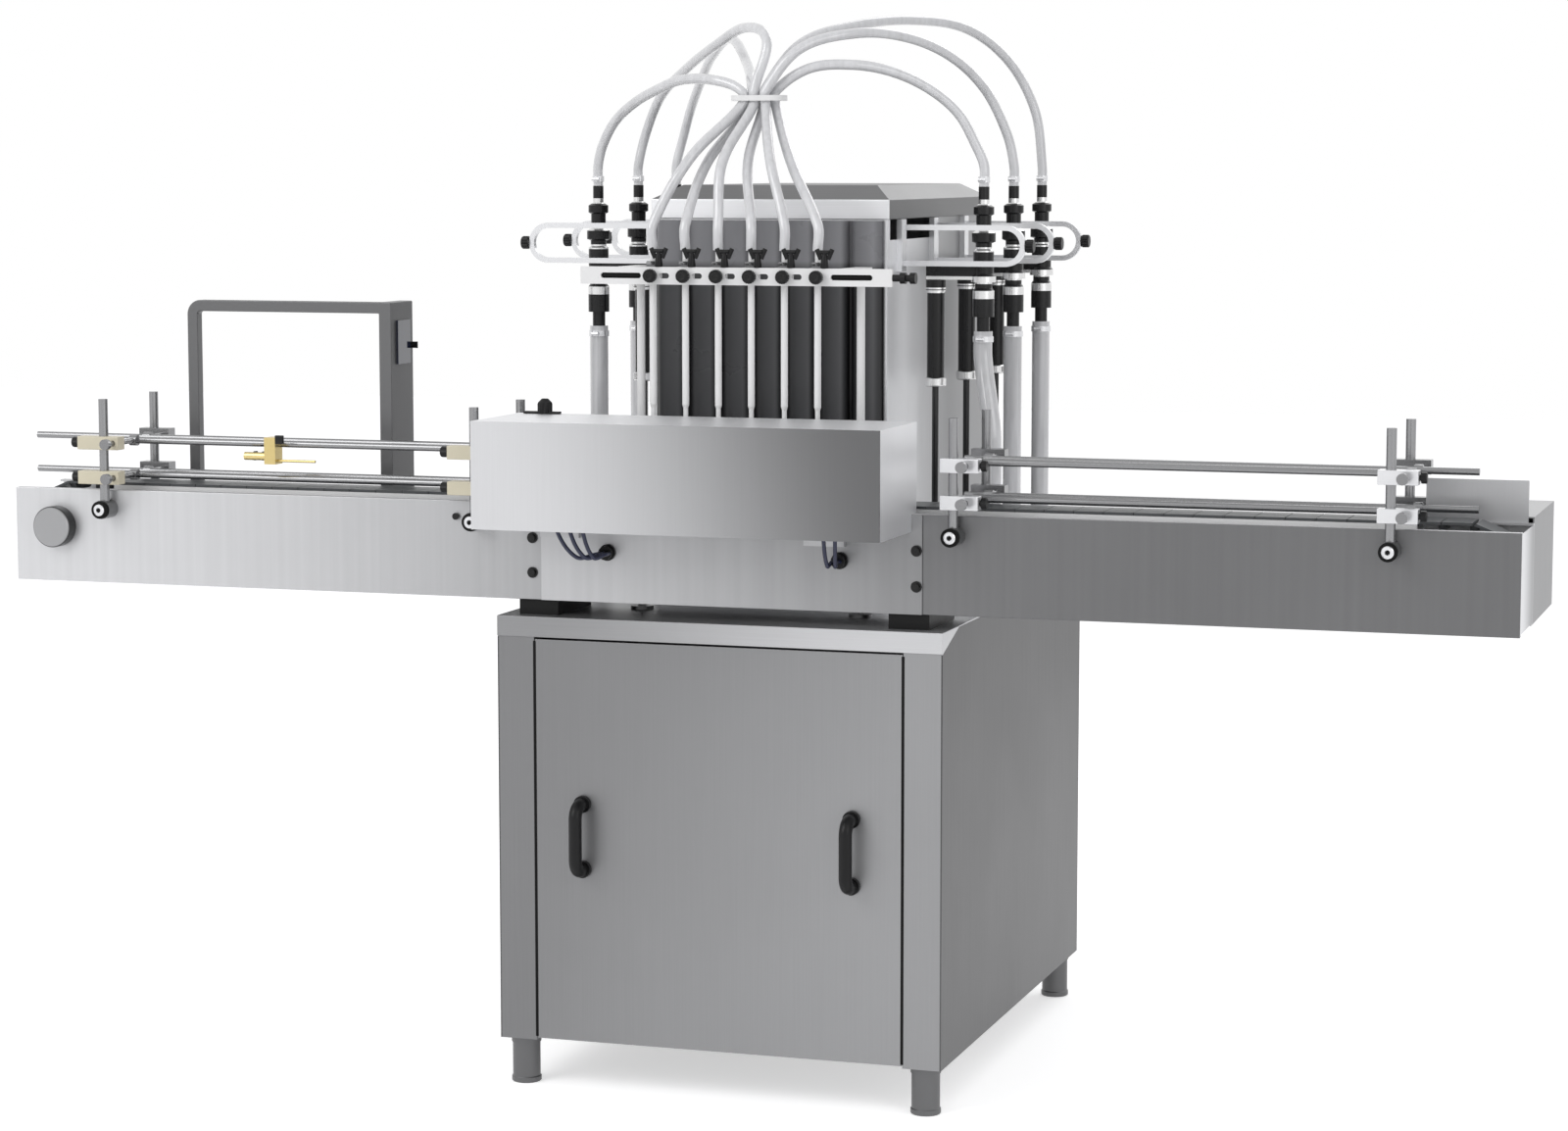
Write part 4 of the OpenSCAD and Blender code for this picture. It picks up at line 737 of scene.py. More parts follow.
class Finishes:
    """Every finish of the machine, built once."""

    # Many of these are one brushed stainless steel in lit and shaded copies: each tone is matched
    # to how bright that face looks, so the tones are painted light and shade.
    METALS = (
        SteelFinish(
            "cabinet_steel", 0.22, 0.88, Grain.ALONG_Z, painted_far_tone=0.32, light_fade=((1, 0, 0), -0.34, 0.33)
        ),
        SteelFinish(
            "door_steel", 0.225, 0.88, Grain.ALONG_Z, painted_far_tone=0.33, light_fade=((1, 0, -0.5), -0.62, 0.24)
        ),
        # Side and rear panels: a shaded copy of the cabinet steel, painted shade.
        SteelFinish(
            "panel_steel", 0.11, 0.88, Grain.ALONG_Z, painted_far_tone=0.075, light_fade=((0, 0, 1), 0.1, 0.64)
        ),
        SteelFinish("deck_steel", 0.30, 0.8, Grain.ALONG_X, painted_far_tone=0.62, light_fade=((1, 0, 0), -0.3, 0.3)),
        SteelFinish(
            "conveyor_steel", 0.69, 0.74, Grain.BANDS, painted_far_tone=0.18, light_fade=((1, 0, 0), -1.2, 0.6),
            rim=(0.62, -0.3292, -0.3284),
        ),
        SteelFinish("rear_steel", 0.55, 0.9, Grain.ALONG_Z, painted_far_tone=0.5, light_fade=((1, 0, 0), -0.75, 0.7)),
        SteelFinish("middle_steel", 0.56, 0.76, Grain.BANDS, painted_far_tone=0.29, light_fade=((1, 0, 0), -0.3, 0.4)),
        SteelFinish(
            "end_steel", 0.78, 0.9, Grain.ALONG_Z, painted_far_tone=0.26, light_fade=((0, 1, 0), -0.32, -0.16),
            rim=(0.17, -0.3254, -0.3262),
        ),
        SteelFinish(
            "cover_steel", 0.62, 0.9, Grain.ALONG_Z, painted_far_tone=0.14, light_fade=((0.95, 0, 0.3), 0.0, 0.56),
            rim=(0.86, -0.4902, -0.4894),
        ),
        SteelFinish(
            "tower_steel", 0.86, 0.88, Grain.ALONG_Z, painted_far_tone=0.3, light_fade=((0, 1, 0), -0.05, 0.3)
        ),
        SteelFinish("lid_steel", 0.78, 0.86, Grain.ALONG_X, rim=(0.16, -0.0832, -0.0824)),
        SteelFinish("portal_steel", 0.15, 0.85, Grain.ALONG_Z),
        SteelFinish("foot_steel", 0.16, 0.85, Grain.FINE),
        SteelFinish("rod_steel", 0.27, 0.92, Grain.ALONG_X, (0.2, 0.3), 0.9, 0.0),
        SteelFinish("post_steel", 0.32, 0.92, Grain.ALONG_Z, (0.18, 0.28), 0.9, 0.0),
        SteelFinish(
            "turned_steel", 0.34, 0.85, Grain.FINE, (0.26, 0.36), 0.9, 0.01,
            rim=(0.2, -0.363, -0.362),
        ),
        SteelFinish(
            "cap_steel", 0.36, 0.9, Grain.FINE, (0.3, 0.4), 0.7, 0.01,
            rim=(0.03, -0.3512, -0.3496),
        ),
        SteelFinish("yoke_steel", 0.82, 0.88, Grain.ALONG_X, (0.2, 0.3), 0.6, 0.0),
        SteelFinish("dark_rod", 0.05, 0.9, Grain.ALONG_Z, (0.14, 0.22), 0.9, 0.0),
        SteelFinish("alloy", 0.5, 0.85, Grain.CAST, (0.3, 0.45)),
        # Painted shade: near black and dull, so the cross members under the conveyor read as the
        # shadow beneath it.
        SteelFinish("shade_black_steel", 0.008, 0.9, Grain.CAST, (0.4, 0.55), 0.0, specular=0.2),
        SteelFinish("brass", 0.55, 0.85, Grain.FINE, (0.22, 0.36), 0.95, tint=(1.25, 1.0, 0.45)),
        SteelFinish("black_metal", 0.008, 0.7, Grain.CAST, (0.22, 0.34), 0.0, specular=0.3),
        SteelFinish("clear_hose", 0.86, 0.5, Grain.RUNS, (0.1, 0.16), 0.0, 0.0, coat=0.8),
        SteelFinish("grey_hose", 0.88, 0.32, Grain.RUNS, (0.1, 0.16), 0.0, 0.0, coat=0.8),
        SteelFinish("bright_steel", 0.8, 0.9, Grain.FINE, (0.16, 0.26), 0.7, 0.0),
    )
    PLASTICS = (
        PlasticFinish(
            "black_plastic", (0.005, 0.005, 0.0055), (0.06, 0.06, 0.06), 0.08, (0.3, 0.42),
            specular=0.22,
        ),
        PlasticFinish("white_plastic", (0.80, 0.80, 0.80), (0.55, 0.55, 0.54), 0.2, (0.3, 0.45)),
        PlasticFinish("cream_plastic", (0.66, 0.61, 0.47), (0.3, 0.28, 0.2), 0.3, (0.35, 0.5)),
        PlasticFinish("chain_plastic", (0.035, 0.04, 0.045), (0.22, 0.22, 0.22), 0.3, (0.25, 0.45)),
        PlasticFinish(
            "rubber", (0.004, 0.004, 0.004), (0.03, 0.03, 0.03), 0.1, (0.5, 0.7), specular=0.12
        ),
        PlasticFinish("blue_tube", (0.01, 0.014, 0.05), (0.1, 0.12, 0.2), 0.1, (0.2, 0.35)),
        PlasticFinish("motor_blue", (0.06, 0.13, 0.24), (0.2, 0.22, 0.25), 0.2, (0.35, 0.5)),
        PlasticFinish(
            "screen_glass", (0.006, 0.01, 0.03), (0.05, 0.06, 0.1), 0.1, (0.06, 0.12), 0.8
        ),
    )
    GUARD = FluteFinish("guard_gloss")
    BANDED = (
        BandedFinish(
            "valve_bands",
            ((1.150, 1.162), (1.172, 1.183), (1.219, 1.226), (1.247, 1.256), (1.288, 1.296)),
        ),
        BandedFinish("pump_bands", ((1.0195, 1.032), (1.158, 1.162), (1.1635, 1.166))),
    )

    def __init__(self) -> None:
        """Builds the shared groups and all materials."""
        brushed, moulded = brushed_group(), moulded_group()
        self.by_name = {f.name: f.build(brushed) for f in self.METALS}
        on_moulded = (*self.PLASTICS, *self.BANDED, self.GUARD)
        self.by_name |= {f.name: f.build(moulded) for f in on_moulded}

    def put(self, obj: Piece, name: str) -> Piece:
        """Gives an object one finish, in place of what it has.

        Args:
            obj: a CAD node or a new piece.
            name: the finish's name.

        Returns:
            The same object.
        """
        obj.data.materials.clear()
        obj.data.materials.append(self.by_name[name])
        return obj


NODE_FINISHES: dict[str, tuple[str, ...]] = {
    "cabinet_steel": ("cabinet_frame", "cabinet_floor"),
    "foot_steel": ("levelling_feet",),
    "door_steel": ("door_panel",),
    "panel_steel": ("side_panel_left", "side_panel_right", "rear_panel"),
    "deck_steel": ("cabinet_top",),
    "conveyor_steel": ("front_side_plate",),
    "rear_steel": ("rear_side_plate",),
    "middle_steel": ("middle_plate",),
    "end_steel": ("drive_housing",),
    "shade_black_steel": ("cross_members",),
    "cover_steel": ("stop_cover",),
    "tower_steel": ("tower_shell",),
    "lid_steel": ("tower_lid",),
    "portal_steel": ("portal_frame",),
    "rod_steel": ("rails_front_left", "rails_front_right", "rails_rear_left", "rails_rear_right"),
    "post_steel": ("guide_posts", "ball_screw", "drive_shaft", "idler_shaft"),
    "dark_rod": ("piston_rods",),
    "turned_steel": ("post_bosses", "shaft_bearings", "rod_bushes"),
    "cap_steel": ("bearing_cap",),
    "yoke_steel": ("pump_yokes", "blocks_front_right"),
    "alloy": ("stop_cylinders", "dive_cylinder", "pump_crosshead"),
    "brass": ("bottle_sensor", "stop_rod_left", "stop_rod_right"),
    "black_metal": ("plate_bolts", "servo_motor"),
    "valve_bands": ("valve_bodies",),
    "pump_bands": ("pump_barrels",),
    "guard_gloss": ("fluted_guard",),
    "black_plastic": ("door_handles", "clamp_knobs", "yoke_knobs", "cable_glands", "selector_knob"),
    "screen_glass": ("control_panel",),
    "white_plastic": ("nozzle_bar", "nozzles", "dive_rods", "wear_strips", "hose_ring"),
    "cream_plastic": ("blocks_front_left",),
    "chain_plastic": ("slat_chain",),
    "clear_hose": ("fill_hoses",),
    "grey_hose": ("suction_hoses",),
    "blue_tube": ("air_tubes",),
    "motor_blue": ("gearmotor",),
}

EDGED_NODES: dict[str, float] = {
    "tower_lid": 0.0012,
    "cabinet_top": 0.0007,
    "nozzle_bar": 0.0008,
    "door_panel": 0.0008,
    "middle_plate": 0.0006,
    "front_side_plate": 0.0008,
    "portal_frame": 0.0015,
    "blocks_front_left": 0.0012,
    "blocks_front_right": 0.0012,
}


def edge(obj: Piece, width: float) -> None:
    """Gives a CAD node's sharp edges a small rounded bevel that catches the light.

    Args:
        obj: the node.
        width: the bevel's width.
    """
    weld = obj.modifiers.new("weld", "WELD")
    weld.merge_threshold = MERGE_DISTANCE
    bevel = obj.modifiers.new("edge", "BEVEL")
    bevel.width = width
    bevel.segments = 2
    bevel.limit_method = "ANGLE"
    bevel.angle_limit = math.radians(50)
    bevel.use_clamp_overlap = True
    bevel.harden_normals = True


@dataclass
class Studio:
    """Camera, floor and soft light."""

    lens: float = 83.25
    eye: Point = (1.670, -5.201, 1.354)
    lamp_aim: Point = (0, 0, 0.9)
    lamps: tuple[tuple[str, Point, float, float], ...] = (
        ("key_lamp", (-2.6, -3.6, 3.6), 3.0, 95),
        ("fill_lamp", (3.6, -2.6, 2.4), 2.6, 30),
        ("rear_lamp", (1.0, 3.2, 3.4), 2.6, 40),
    )
    pitch: float = 6.38
    yaw: float = 17.89
    floor_half: float = 14.0
    floor_lift: float = 0.50
    sky: float = 0.62

    def build(self) -> None:
        """Makes the camera, the floor, the lamps and the world."""
        deselect()
        bpy.ops.object.camera_add(
            location=self.eye, rotation=(math.radians(90 - self.pitch), 0, math.radians(self.yaw))
        )
        camera = bpy.context.object
        camera.data.lens = self.lens
        camera.data.sensor_width = 36.0
        bpy.context.scene.camera = camera
        bpy.ops.mesh.primitive_plane_add(size=2 * self.floor_half, location=(0, 0, 0))
        floor = settle(bpy.context.object, "studio_floor")
        floor.data.materials.append(self._floor_material())
        for lamp in self.lamps:
            self._lamp(*lamp)
        self._world()
        bpy.context.scene.view_settings.view_transform = "Standard"

    def _lamp(self, name: str, place: Point, size: float, power: float) -> None:
        """Adds a square area lamp that points at the machine.

        Args:
            name: the lamp's name.
            place: where it stands.
            size: the length of its sides.
            power: its power, in watts.
        """
        deselect()
        aim = Vector(self.lamp_aim) - Vector(place)
        turn = aim.to_track_quat("-Z", "Y").to_euler()
        bpy.ops.object.light_add(type="AREA", location=place, rotation=turn)
        lamp = bpy.context.object
        lamp.name = name
        lamp.data.size = size
        lamp.data.energy = power

    @staticmethod
    def _seen(graph: Graph) -> NodeSocket:
        """One where a ray comes from the camera, a gloss or a clear piece, else nought.

        Args:
            graph: the graph of the floor's material or of the world.

        Returns:
            The socket that puts the value out.
        """
        rays = graph.add("LightPath", {}).outputs
        first = graph.calc("MAXIMUM", rays["Is Camera Ray"], rays["Is Glossy Ray"])
        return graph.calc("MAXIMUM", first, rays["Is Transmission Ray"])

    def _floor_material(self) -> Material:
        """Pale floor that shows white but for its shadow, and fades into the white world.

        Returns:
            The material.
        """
        material, graph, shader = blank_material("studio_floor")
        graph.feed(shader, {
            "Base Color": colour(0.88),
            "Roughness": 0.8,
            "Specular IOR Level": 0.1,
            "Emission Color": colour(1),
            "Emission Strength": graph.calc("MULTIPLY", self._seen(graph), self.floor_lift),
        })
        return material

    def _world(self) -> None:
        """White where it is seen, softer as light."""
        world = bpy.data.worlds.new("studio_world")
        bpy.context.scene.world = world
        world.use_nodes = True
        graph = Graph(world.node_tree)
        light = colour(self.sky, (1, 1, 1.02))
        graph.feed(world.node_tree.nodes["Background"], {
            "Color": graph.mix(self._seen(graph), light, colour(1)), "Strength": 1.0,
        })


@dataclass
class Hoses:
    """Fill hoses from the nozzles over to the valves, suction hoses and air tubes.

    The tables of the fill hoses are in millimetres.
    """

    finishes: Finishes
    fill_radius: float = 0.0075
    suction_radius: float = 0.014
    air_radius: float = 0.003
    barb_z: float = 1225.2
    valve_z: float = 1315.2
    ring_low_z: float = 1434
    ring_high_z: float = 1454
    ring_offsets: tuple[Pair, ...] = (
        (-23, -10), (-14, 10), (-5, -10), (4, 10), (13, -10), (22, 10),
    )
    rises: tuple[Point, ...] = (
        (-81, -218, 1357), (-65, -188, 1351), (-32, -218, 1351),
        (-3, -188, 1351), (41, -218, 1351), (62, -188, 1351),
    )
    arcs: tuple[tuple[Point, ...], ...] = (
        ((-73, -129, 1470), (-134, -102, 1472), (-187, -67, 1458), (-236, -32, 1439),
         (-277, -4, 1412), (-301, 7, 1377)),
        ((-66, -5, 1499), (-130, 109, 1539), (-195, 209, 1514), (-242, 289, 1476),
         (-277, 342, 1434), (-297, 363, 1390)),
        ((6, -128, 1527), (-42, -80, 1548), (-117, -4, 1524), (-193, 82, 1492),
         (-260, 154, 1452), (-295, 185, 1399)),
        ((36, -60, 1524), (91, 43, 1554), (147, 156, 1565), (205, 259, 1554),
         (253, 333, 1505), (287, 363, 1430)),
        ((55, -122, 1515), (122, -67, 1538), (175, 11, 1535), (222, 93, 1509),
         (259, 158, 1461), (287, 185, 1395)),
        ((67, -113, 1487), (127, -91, 1492), (178, -61, 1482), (224, -29, 1458),
         (262, -4, 1422), (288, 7, 1372)),
    )
    valve_side: tuple[int, ...] = (-1, -1, -1, 1, 1, 1)
    valve_row: tuple[int, ...] = (0, 2, 1, 2, 1, 0)
    suction_drop: tuple[float, ...] = (0.9405, 0.779, 0.728, 0.708)
    front_lean: float = 0.020
    air_fans: tuple[tuple[tuple[int, ...], int, float], ...] = (
        ((-225, -205, -185), -168, 0.0), ((175, 192), 182, 0.5),
    )
    gland_pitch: float = 6.6

    def build(self) -> list[Piece]:
        """Builds all hoses in place of their plain CAD solids.

        Returns:
            The fill hoses, then the suction hoses and the air tubes, each set as one piece.
        """
        made = [self._fill_hose(i) for i in range(len(DATUMS.nozzle_x))]
        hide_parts("fill_hoses")
        return [*made, self._suction_hoses(), self._air_tubes()]

    def _fill_hose(self, i: int) -> Piece:
        """One fill hose, from its nozzle through the ring to its valve.

        Args:
            i: the nozzle's number, from 0 at the left.

        Returns:
            The hose.
        """
        d = DATUMS
        x, y = d.nozzle_x[i] / MM, d.lane_y / MM
        head_x = d.head_dx / MM
        ring_x = head_x + self.ring_offsets[i][0]
        ring_y = d.ring_y / MM + self.ring_offsets[i][1]
        valve_x = head_x + self.valve_side[i] * d.valve_x / MM
        valve_y = d.row_y[self.valve_row[i]] / MM
        path = [
            (x, y, self.barb_z), (x, y, self.barb_z + 1), (x, y, self.barb_z + 36), self.rises[i],
            (ring_x, ring_y, self.ring_low_z), (ring_x, ring_y, self.ring_high_z), *self.arcs[i],
            (valve_x, valve_y, self.valve_z + 30), (valve_x, valve_y, self.valve_z + 1),
            (valve_x, valve_y, self.valve_z),
        ]
        path = [tuple(v * MM for v in point) for point in path]
        hose = swept(f"fill_hose_{i + 1}", path, self.fill_radius)
        self.finishes.put(hose, "clear_hose")
        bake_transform(hose)
        line = centreline(path)
        return hose

    def _suction_hoses(self) -> Piece:
        """The suction hoses from the valves down to the cabinet; the right front one leans.

        Returns:
            The six hoses as one piece.
        """
        d = DATUMS
        hoses = []
        top = d.valve_low_z
        middle, low, socket, foot = self.suction_drop
        for side in (-1, 1):
            for k, y in enumerate(d.row_y):
                x = d.head_dx + side * d.valve_x
                lean = self.front_lean if side > 0 and k == 0 else 0.0
                path = [
                    (x, y, top), (x, y, top - 0.04), (x + lean, y - lean, middle),
                    (x + lean / 2, y, low), (x, y, socket), (x, y, foot),
                ]
                hoses.append(swept(f"suction_{side}_{k}", path, self.suction_radius, 6))
        pipe = joined("suction_hose_set", hoses)
        self.finishes.put(pipe, "grey_hose")
        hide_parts("suction_hoses")
        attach(pipe, "base")
        return pipe

    def _air_tubes(self) -> Piece:
        """The thin air tubes from the stop cylinders to their glands.

        Returns:
            The five tubes as one piece.
        """
        tubes = []
        y = DATUMS.plate_y - 0.003
        z = DATUMS.belt_z - 0.068
        for fan, gland, shift in self.air_fans:
            for k, x0 in enumerate(fan):
                mouth = gland + (k + shift - 1) * self.gland_pitch
                path = [
                    (x0 * MM, y - 0.060, 0.870), (x0 * MM, y - 0.058, 0.830),
                    ((x0 + mouth) / 2 * MM, y - 0.046, z - 0.003), (mouth * MM, y - 0.032, z),
                    (mouth * MM, y - 0.0142, z),
                ]
                tubes.append(swept(f"air_{x0}", path, self.air_radius, 3))
        pipe = joined("air_tube_set", tubes)
        self.finishes.put(pipe, "blue_tube")
        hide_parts("air_tubes")
        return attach(pipe, "base")


@dataclass
class Details:
    """Knobs, screws, clamps, collars and trims that sit on the CAD nodes.

    Profiles are a lathe's (height, radius) steps, in metres.
    """

    BAR_KNOB = ((0, 0.0085), (0.0012, 0.0100), (0.0084, 0.0100), (0.0102, 0.0088))
    BAR_BUTTON = (
        (0, 0.0058), (0.0006, 0.0058), (0.0010, 0.0052), (0.0008, 0.0036), (0.0003, 0.0032),
    )
    WING_HUB = ((0, 0.0055), (0.002, 0.0062), (0.010, 0.0050), (0.017, 0.0042), (0.0195, 0.0034))
    WORM = ((0, 0.0026), (0.0005, 0.0032), (0.003, 0.0032), (0.0032, 0.0026), (0.012, 0.0026))
    COLLAR = ((0, 0.0088), (0.001, 0.0096), (0.0065, 0.0096), (0.008, 0.0085))
    YOKE_KNOB = (
        (0, 0.0060), (0.0015, 0.0060), (0.0016, 0.0098), (0.0110, 0.0098), (0.0122, 0.0086),
    )
    WASHER = ((0, 0.0132), (0.0022, 0.0132), (0.0026, 0.0126))
    SCREW = ((0, 0.0086), (0.0016, 0.0086), (0.0028, 0.0072), (0.0027, 0.0038), (0.0010, 0.0034))
    SOCKET = ((0, 0.0034), (0.0012, 0.0034), (0.0015, 0.0026), (0.0008, 0.0020))
    COVER_GRIP = ((0, 0.0102), (0.003, 0.0108), (0.014, 0.0108), (0.0165, 0.0100), (0.0218, 0.0046))
    LOCK_NUT = ((0, 0.0066), (0.0006, 0.0078), (0.0040, 0.0078), (0.0046, 0.0066))

    finishes: Finishes
    seat: float = 0.0002
    bar_knob_x: float = 0.007
    bar_knob_out: float = 0.0042
    bar_button_out: float = 0.0142
    wing_shift: Point = (0.016, 0.004, 0.025)
    leaf_low: Point = (-0.0035, -0.0013, 0)
    leaf_size: Point = (0.007, 0.0026, 0.016)
    leaf_spread: float = 0.0052
    leaf_lift: float = 0.0128
    leaf_tilt: float = 24.0
    rail_knobs: tuple[tuple[str, Pair, int, float, float], ...] = (
        ("blocks_left", (-0.971, -0.370), -1, 0.039, 0.013),
        ("blocks_right", (0.350, 0.957), 1, 0.038, 0.010),
    )
    rail_knob_y: float = -0.343
    rail_knob_z: Pair = (0.880, 0.932)
    rail_knob_radii: tuple[float, ...] = (0.0045, 0.0080, 0.0070)
    clamps: tuple[tuple[str, float, float], ...] = (
        ("top", 1.321, 0.0077), ("low", 1.086, 0.0142), ("foot", 0.712, 0.0142),
    )
    clamp_wall: float = 0.0012
    worm_shift: Point = (0.006, 0.0035, 0.0043)
    collar_z: float = 1.2012
    yoke_reach: tuple[tuple[int, float], ...] = ((-1, 0.103), (1, 0.070))
    yoke_out: float = 0.0237
    yoke_z: float = 1.2285
    boss_x: float = -0.971
    boss_z: float = 0.832
    boss_out: float = 0.0312
    boss_shifts: tuple[float, ...] = (0.601, 1.321, 1.928)
    insert_x: tuple[float, ...] = (-0.167, 0.181)
    insert_size: Point = (0.061, 0.0050, 0.0076)
    insert_back: float = 0.0022
    # Painted shade strips in the door's side gaps.
    gap_shade_middle: float = 0.2784
    gap_shade_low: Pair = (-0.3455, 0.0745)
    gap_shade_size: Point = (0.0044, 0.007, 0.5860)
    grip: Point = (-0.2695, -0.319, 0.9892)
    tongue_shift: Pair = (0.032, 0.006)
    tongue_size: Point = (0.056, 0.011, 0.0034)
    sensor_low: Point = (-0.7045, -0.3125, 0.934)
    sensor_size: Point = (0.013, 0.006, 0.013)
    nut_x: tuple[float, ...] = (-0.728, -0.742)
    nut_yz: Pair = (-0.2952, 0.9145)
    made: list[Piece] = field(default_factory=list)

    def add(self, obj: Piece, finish: str, body: str) -> None:
        """Gives a piece its finish and its body, and keeps it.

        Args:
            obj: the finished piece.
            finish: its finish.
            body: the body that it rides on.
        """
        self.finishes.put(obj, finish)
        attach(obj, body)
        self.made.append(obj)

    def build(self) -> list[Piece]:
        """Builds every detail piece.

        Returns:
            The pieces, in the order in which they were made.
        """
        self._bar_knobs()
        self._wing_screws()
        self._rail_knobs()
        self._hose_clamps()
        self._nozzle_collars()
        self._yoke_knobs()
        self._boss_faces()
        self._slot_inserts()
        self._door_gap_shades()
        self._cover_knob()
        self._sensor_clamp()
        return self.made

    def _repeat(self, source: Piece, shifts: Sequence[Point], finish: str, body: str) -> None:
        """Copies a modelled piece to other places, each copy with its own mesh.

        Args:
            source: the modelled piece, at its first place.
            shifts: the way from there to each other place, in metres.
            finish: the finish of all of them.
            body: the body that they ride on.
        """
        self.add(source, finish, body)
        for n, shift in enumerate(shifts):
            twin = source.copy()
            twin.data = source.data.copy()
            bpy.context.scene.collection.objects.link(twin)
            twin.location = shift
            settle(twin, f"{source.name}_{n + 2}")
            self.add(twin, finish, body)

    def _bar_knobs(self) -> None:
        """A fluted knob with a dark button on each clamp of the nozzle bar."""
        d = DATUMS
        x, y, z = d.nozzle_x[0] + self.bar_knob_x, d.bar_y, d.bar_mid_z
        start = (x, y - self.bar_knob_out, z)
        knob = turned("bar_knob", start, self.BAR_KNOB, Axis.Y_OUT, 40, True)
        self._repeat(knob, BAR_SHIFTS, "black_plastic", "filling_bar")
        start = (x, y - self.bar_button_out, z)
        button = turned("bar_button", start, self.BAR_BUTTON, Axis.Y_OUT, 24)
        self._repeat(button, BAR_SHIFTS, "black_metal", "filling_bar")

    def _wing_screws(self) -> None:
        """A wing screw on the bar's top beside each nozzle."""
        d = DATUMS
        right, back, up = self.wing_shift
        x, y, z = d.nozzle_x[0] + right, d.bar_y + back, d.bar_z + up
        parts = [turned("wing_hub", (x, y, z + self.seat), self.WING_HUB, Axis.Z, 24)]
        for side in (-1, 1):
            wing = bevelled_box("wing_leaf", self.leaf_low, self.leaf_size, 0.0011, 3)
            activate(wing)
            wing.rotation_euler = (0, side * math.radians(self.leaf_tilt), 0)
            wing.location = (x + side * self.leaf_spread, y, z + self.leaf_lift)
            parts.append(settle(wing, "wing_leaf"))
        self._repeat(joined("wing_screw", parts), BAR_SHIFTS, "black_plastic", "filling_bar")

    def _rail_knobs(self) -> None:
        """Black clamp knobs on the cross blocks and rods of the rails."""
        neck, head, rim = self.rail_knob_radii
        for body, posts, side, reach, length in self.rail_knobs:
            profile = (
                (0, neck), (0.002, neck), (0.0022, head), (length - 0.001, head), (length, rim),
            )
            axis = Axis.X if side > 0 else Axis.X_BACK
            for n, x in enumerate(posts):
                for m, z in enumerate(self.rail_knob_z):
                    start = (x + side * (reach + self.seat), self.rail_knob_y, z)
                    knob = turned(f"{body}_knob_{n}{m}", start, profile, axis, 24, True)
                    self.add(knob, "black_plastic", body)

    def _hose_clamps(self) -> None:
        """Steel worm clamps on the hose ends at the valves and at the cabinet."""
        d = DATUMS
        right, out, up = self.worm_shift
        for side in (-1, 1):
            for k, y in enumerate(d.row_y):
                x = d.head_dx + side * d.valve_x
                for label, z, inner in self.clamps:
                    outer = inner + self.clamp_wall
                    profile = ((0, inner), (0.0001, outer), (0.0085, outer), (0.0086, inner))
                    band = turned(f"clamp_{label}_{side}_{k}", (x, y, z), profile, Axis.Z, 40)
                    start = (x + right, y - inner - out, z + up)
                    worm = turned("worm", start, self.WORM, Axis.X_BACK, 16)
                    self.add(joined(band.name, [band, worm]), "yoke_steel", "base")

    def _nozzle_collars(self) -> None:
        """Hexagonal collars where the hoses go into the nozzles."""
        for i, x in enumerate(DATUMS.nozzle_x):
            start = (x, DATUMS.lane_y, self.collar_z)
            collar = turned(f"nozzle_collar_{i}", start, self.COLLAR, Axis.Z, 6)
            self.add(collar, "post_steel", "filling_bar")

    def _yoke_knobs(self) -> None:
        """Fluted black knobs on the rounded ends of the yokes."""
        d = DATUMS
        for side, reach in self.yoke_reach:
            axis = Axis.X if side > 0 else Axis.X_BACK
            x = d.head_dx + side * (d.valve_x + reach)
            for k, y in enumerate(d.row_y):
                start = (x + side * self.seat, y - self.yoke_out, self.yoke_z)
                knob = turned(f"yoke_knob_{side}_{k}", start, self.YOKE_KNOB, axis, 32, True)
                self.add(knob, "black_plastic", "base")

    def _boss_faces(self) -> None:
        """A black washer and a bright screw with a dark socket on each front post boss."""
        shifts = [(x, 0, 0) for x in self.boss_shifts]
        y = DATUMS.plate_y - self.boss_out
        for name, out, profile, sides, finish in (
            ("boss_washer", 0.0, self.WASHER, 40, "rubber"),
            ("boss_screw", 0.0026, self.SCREW, 32, "bright_steel"),
            ("boss_socket", 0.0035, self.SOCKET, 6, "rubber"),
        ):
            start = (self.boss_x, y - out, self.boss_z)
            piece = turned(name, start, profile, Axis.Y_OUT, sides)
            self._repeat(piece, shifts, finish, "base")

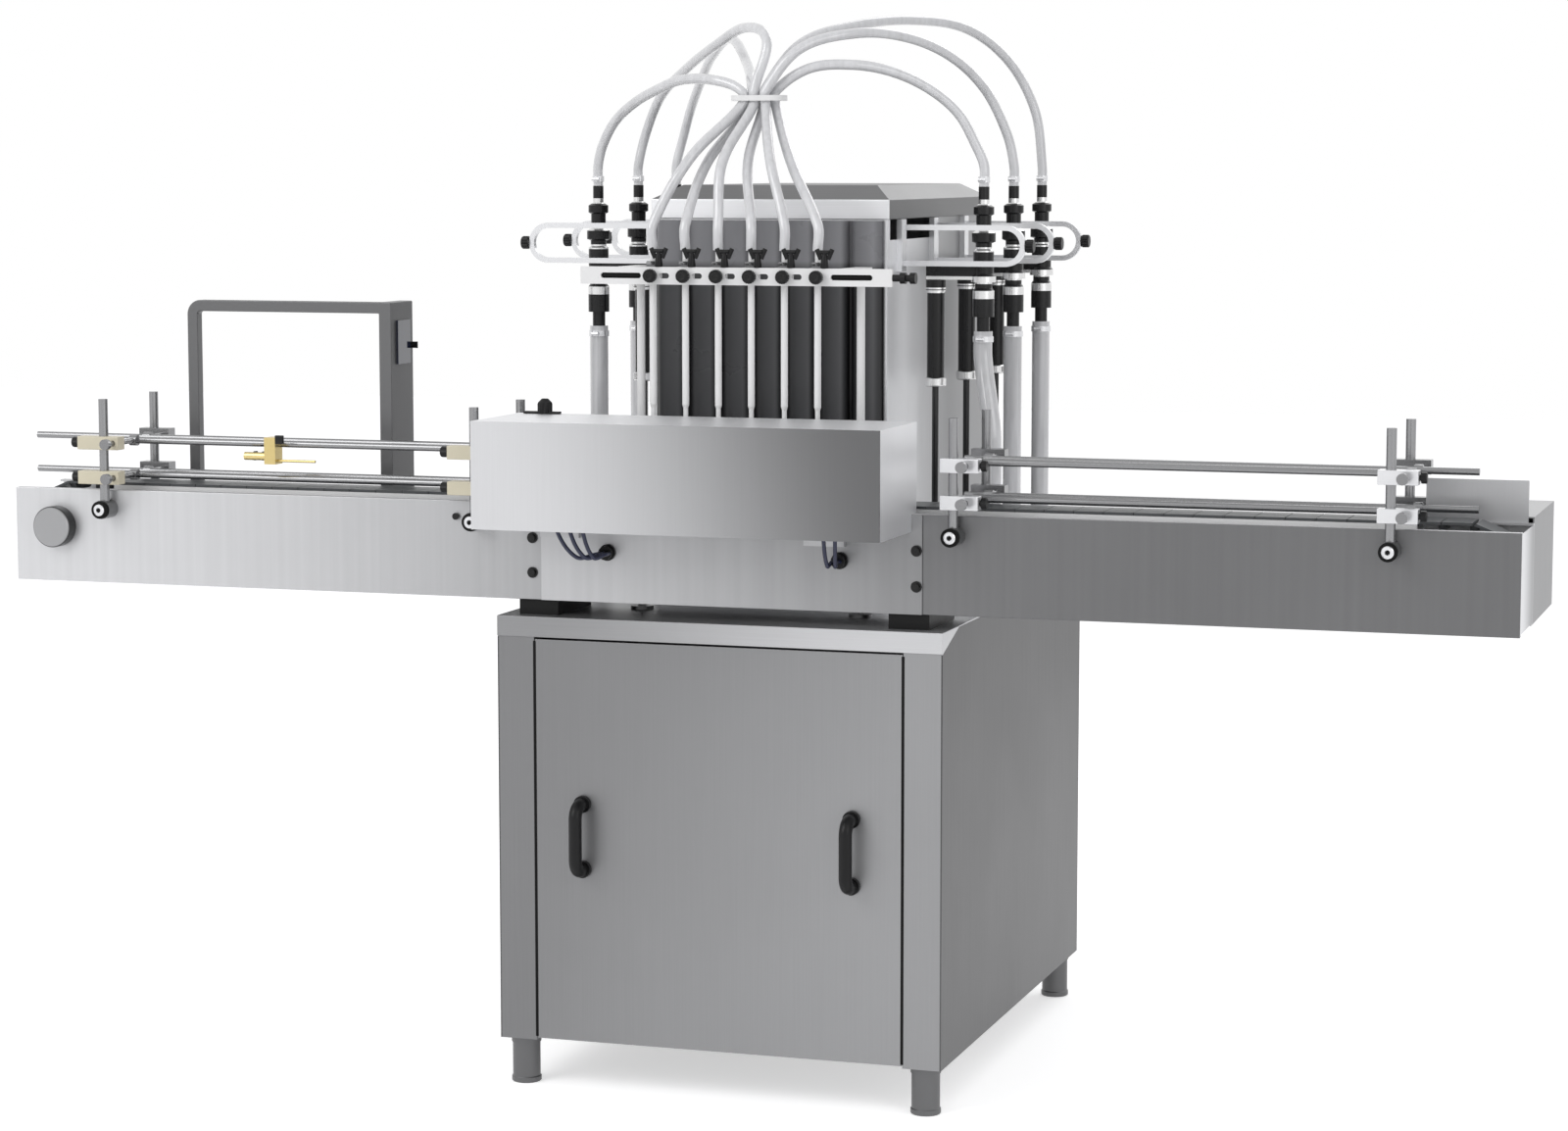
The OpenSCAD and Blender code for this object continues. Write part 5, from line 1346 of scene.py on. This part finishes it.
    def _slot_inserts(self) -> None:
        """Black sliding nuts that fill the bar's long slots, set back from its face."""
        width, _, height = self.insert_size
        y, z = DATUMS.bar_y + self.insert_back, DATUMS.bar_mid_z - height / 2
        for n, x in enumerate(self.insert_x):
            low = (x - width / 2, y, z)
            insert = bevelled_box(f"slot_insert_{n}", low, self.insert_size, 0.0034, 4)
            self.add(insert, "rubber", "filling_bar")

    def _door_gap_shades(self) -> None:
        """Black strips on the two side edges of the door, which fill its gaps: painted shade
        standing in for the shadow in the gaps.
        """
        for side, label in ((-1, "left"), (1, "right")):
            low = (side * self.gap_shade_middle - self.gap_shade_size[0] / 2, *self.gap_shade_low)
            gap_shade = bevelled_box(f"door_seal_{label}", low, self.gap_shade_size, 0.0004, 2)
            self.add(gap_shade, "rubber", "door")

    def _cover_knob(self) -> None:
        """Black grip over the cover's knob, and the flat tongue beside it."""
        x, y, z = self.grip
        left, out = self.tongue_shift
        grip = turned("cover_grip", self.grip, self.COVER_GRIP, Axis.Z, 32, True)
        tongue = bevelled_box("cover_tongue", (x - left, y - out, z), self.tongue_size, 0.0012, 3)
        for piece in (grip, tongue):
            self.add(piece, "black_plastic", "cover")

    def _sensor_clamp(self) -> None:
        """Dark clamp and lock nuts of the sensor over the lane."""
        clamp = bevelled_box("sensor_clamp", self.sensor_low, self.sensor_size, 0.0012, 3)
        self.add(clamp, "black_metal", "rails_left")
        for n, x in enumerate(self.nut_x):
            nut = turned(f"sensor_nut_{n}", (x, *self.nut_yz), self.LOCK_NUT, Axis.X_BACK, 6)
            self.add(nut, "black_metal", "rails_left")


def main() -> None:
    """Loads the frame, dresses it and reports each piece."""
    logging.basicConfig(level=logging.INFO, format="%(name)s: %(message)s")
    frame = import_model()
    Studio().build()
    finishes = Finishes()
    for finish, nodes in NODE_FINISHES.items():
        for node in nodes:
            finishes.put(frame["nodes"][node], finish)
    for node, width in EDGED_NODES.items():
        edge(frame["nodes"][node], width)
    for part in (Hoses(finishes), Details(finishes)):
        for piece in part.build():
            LOG.info("%s: %d faces", piece.name, len(piece.data.polygons))
    deselect()


if __name__ == "__main__":
    main()
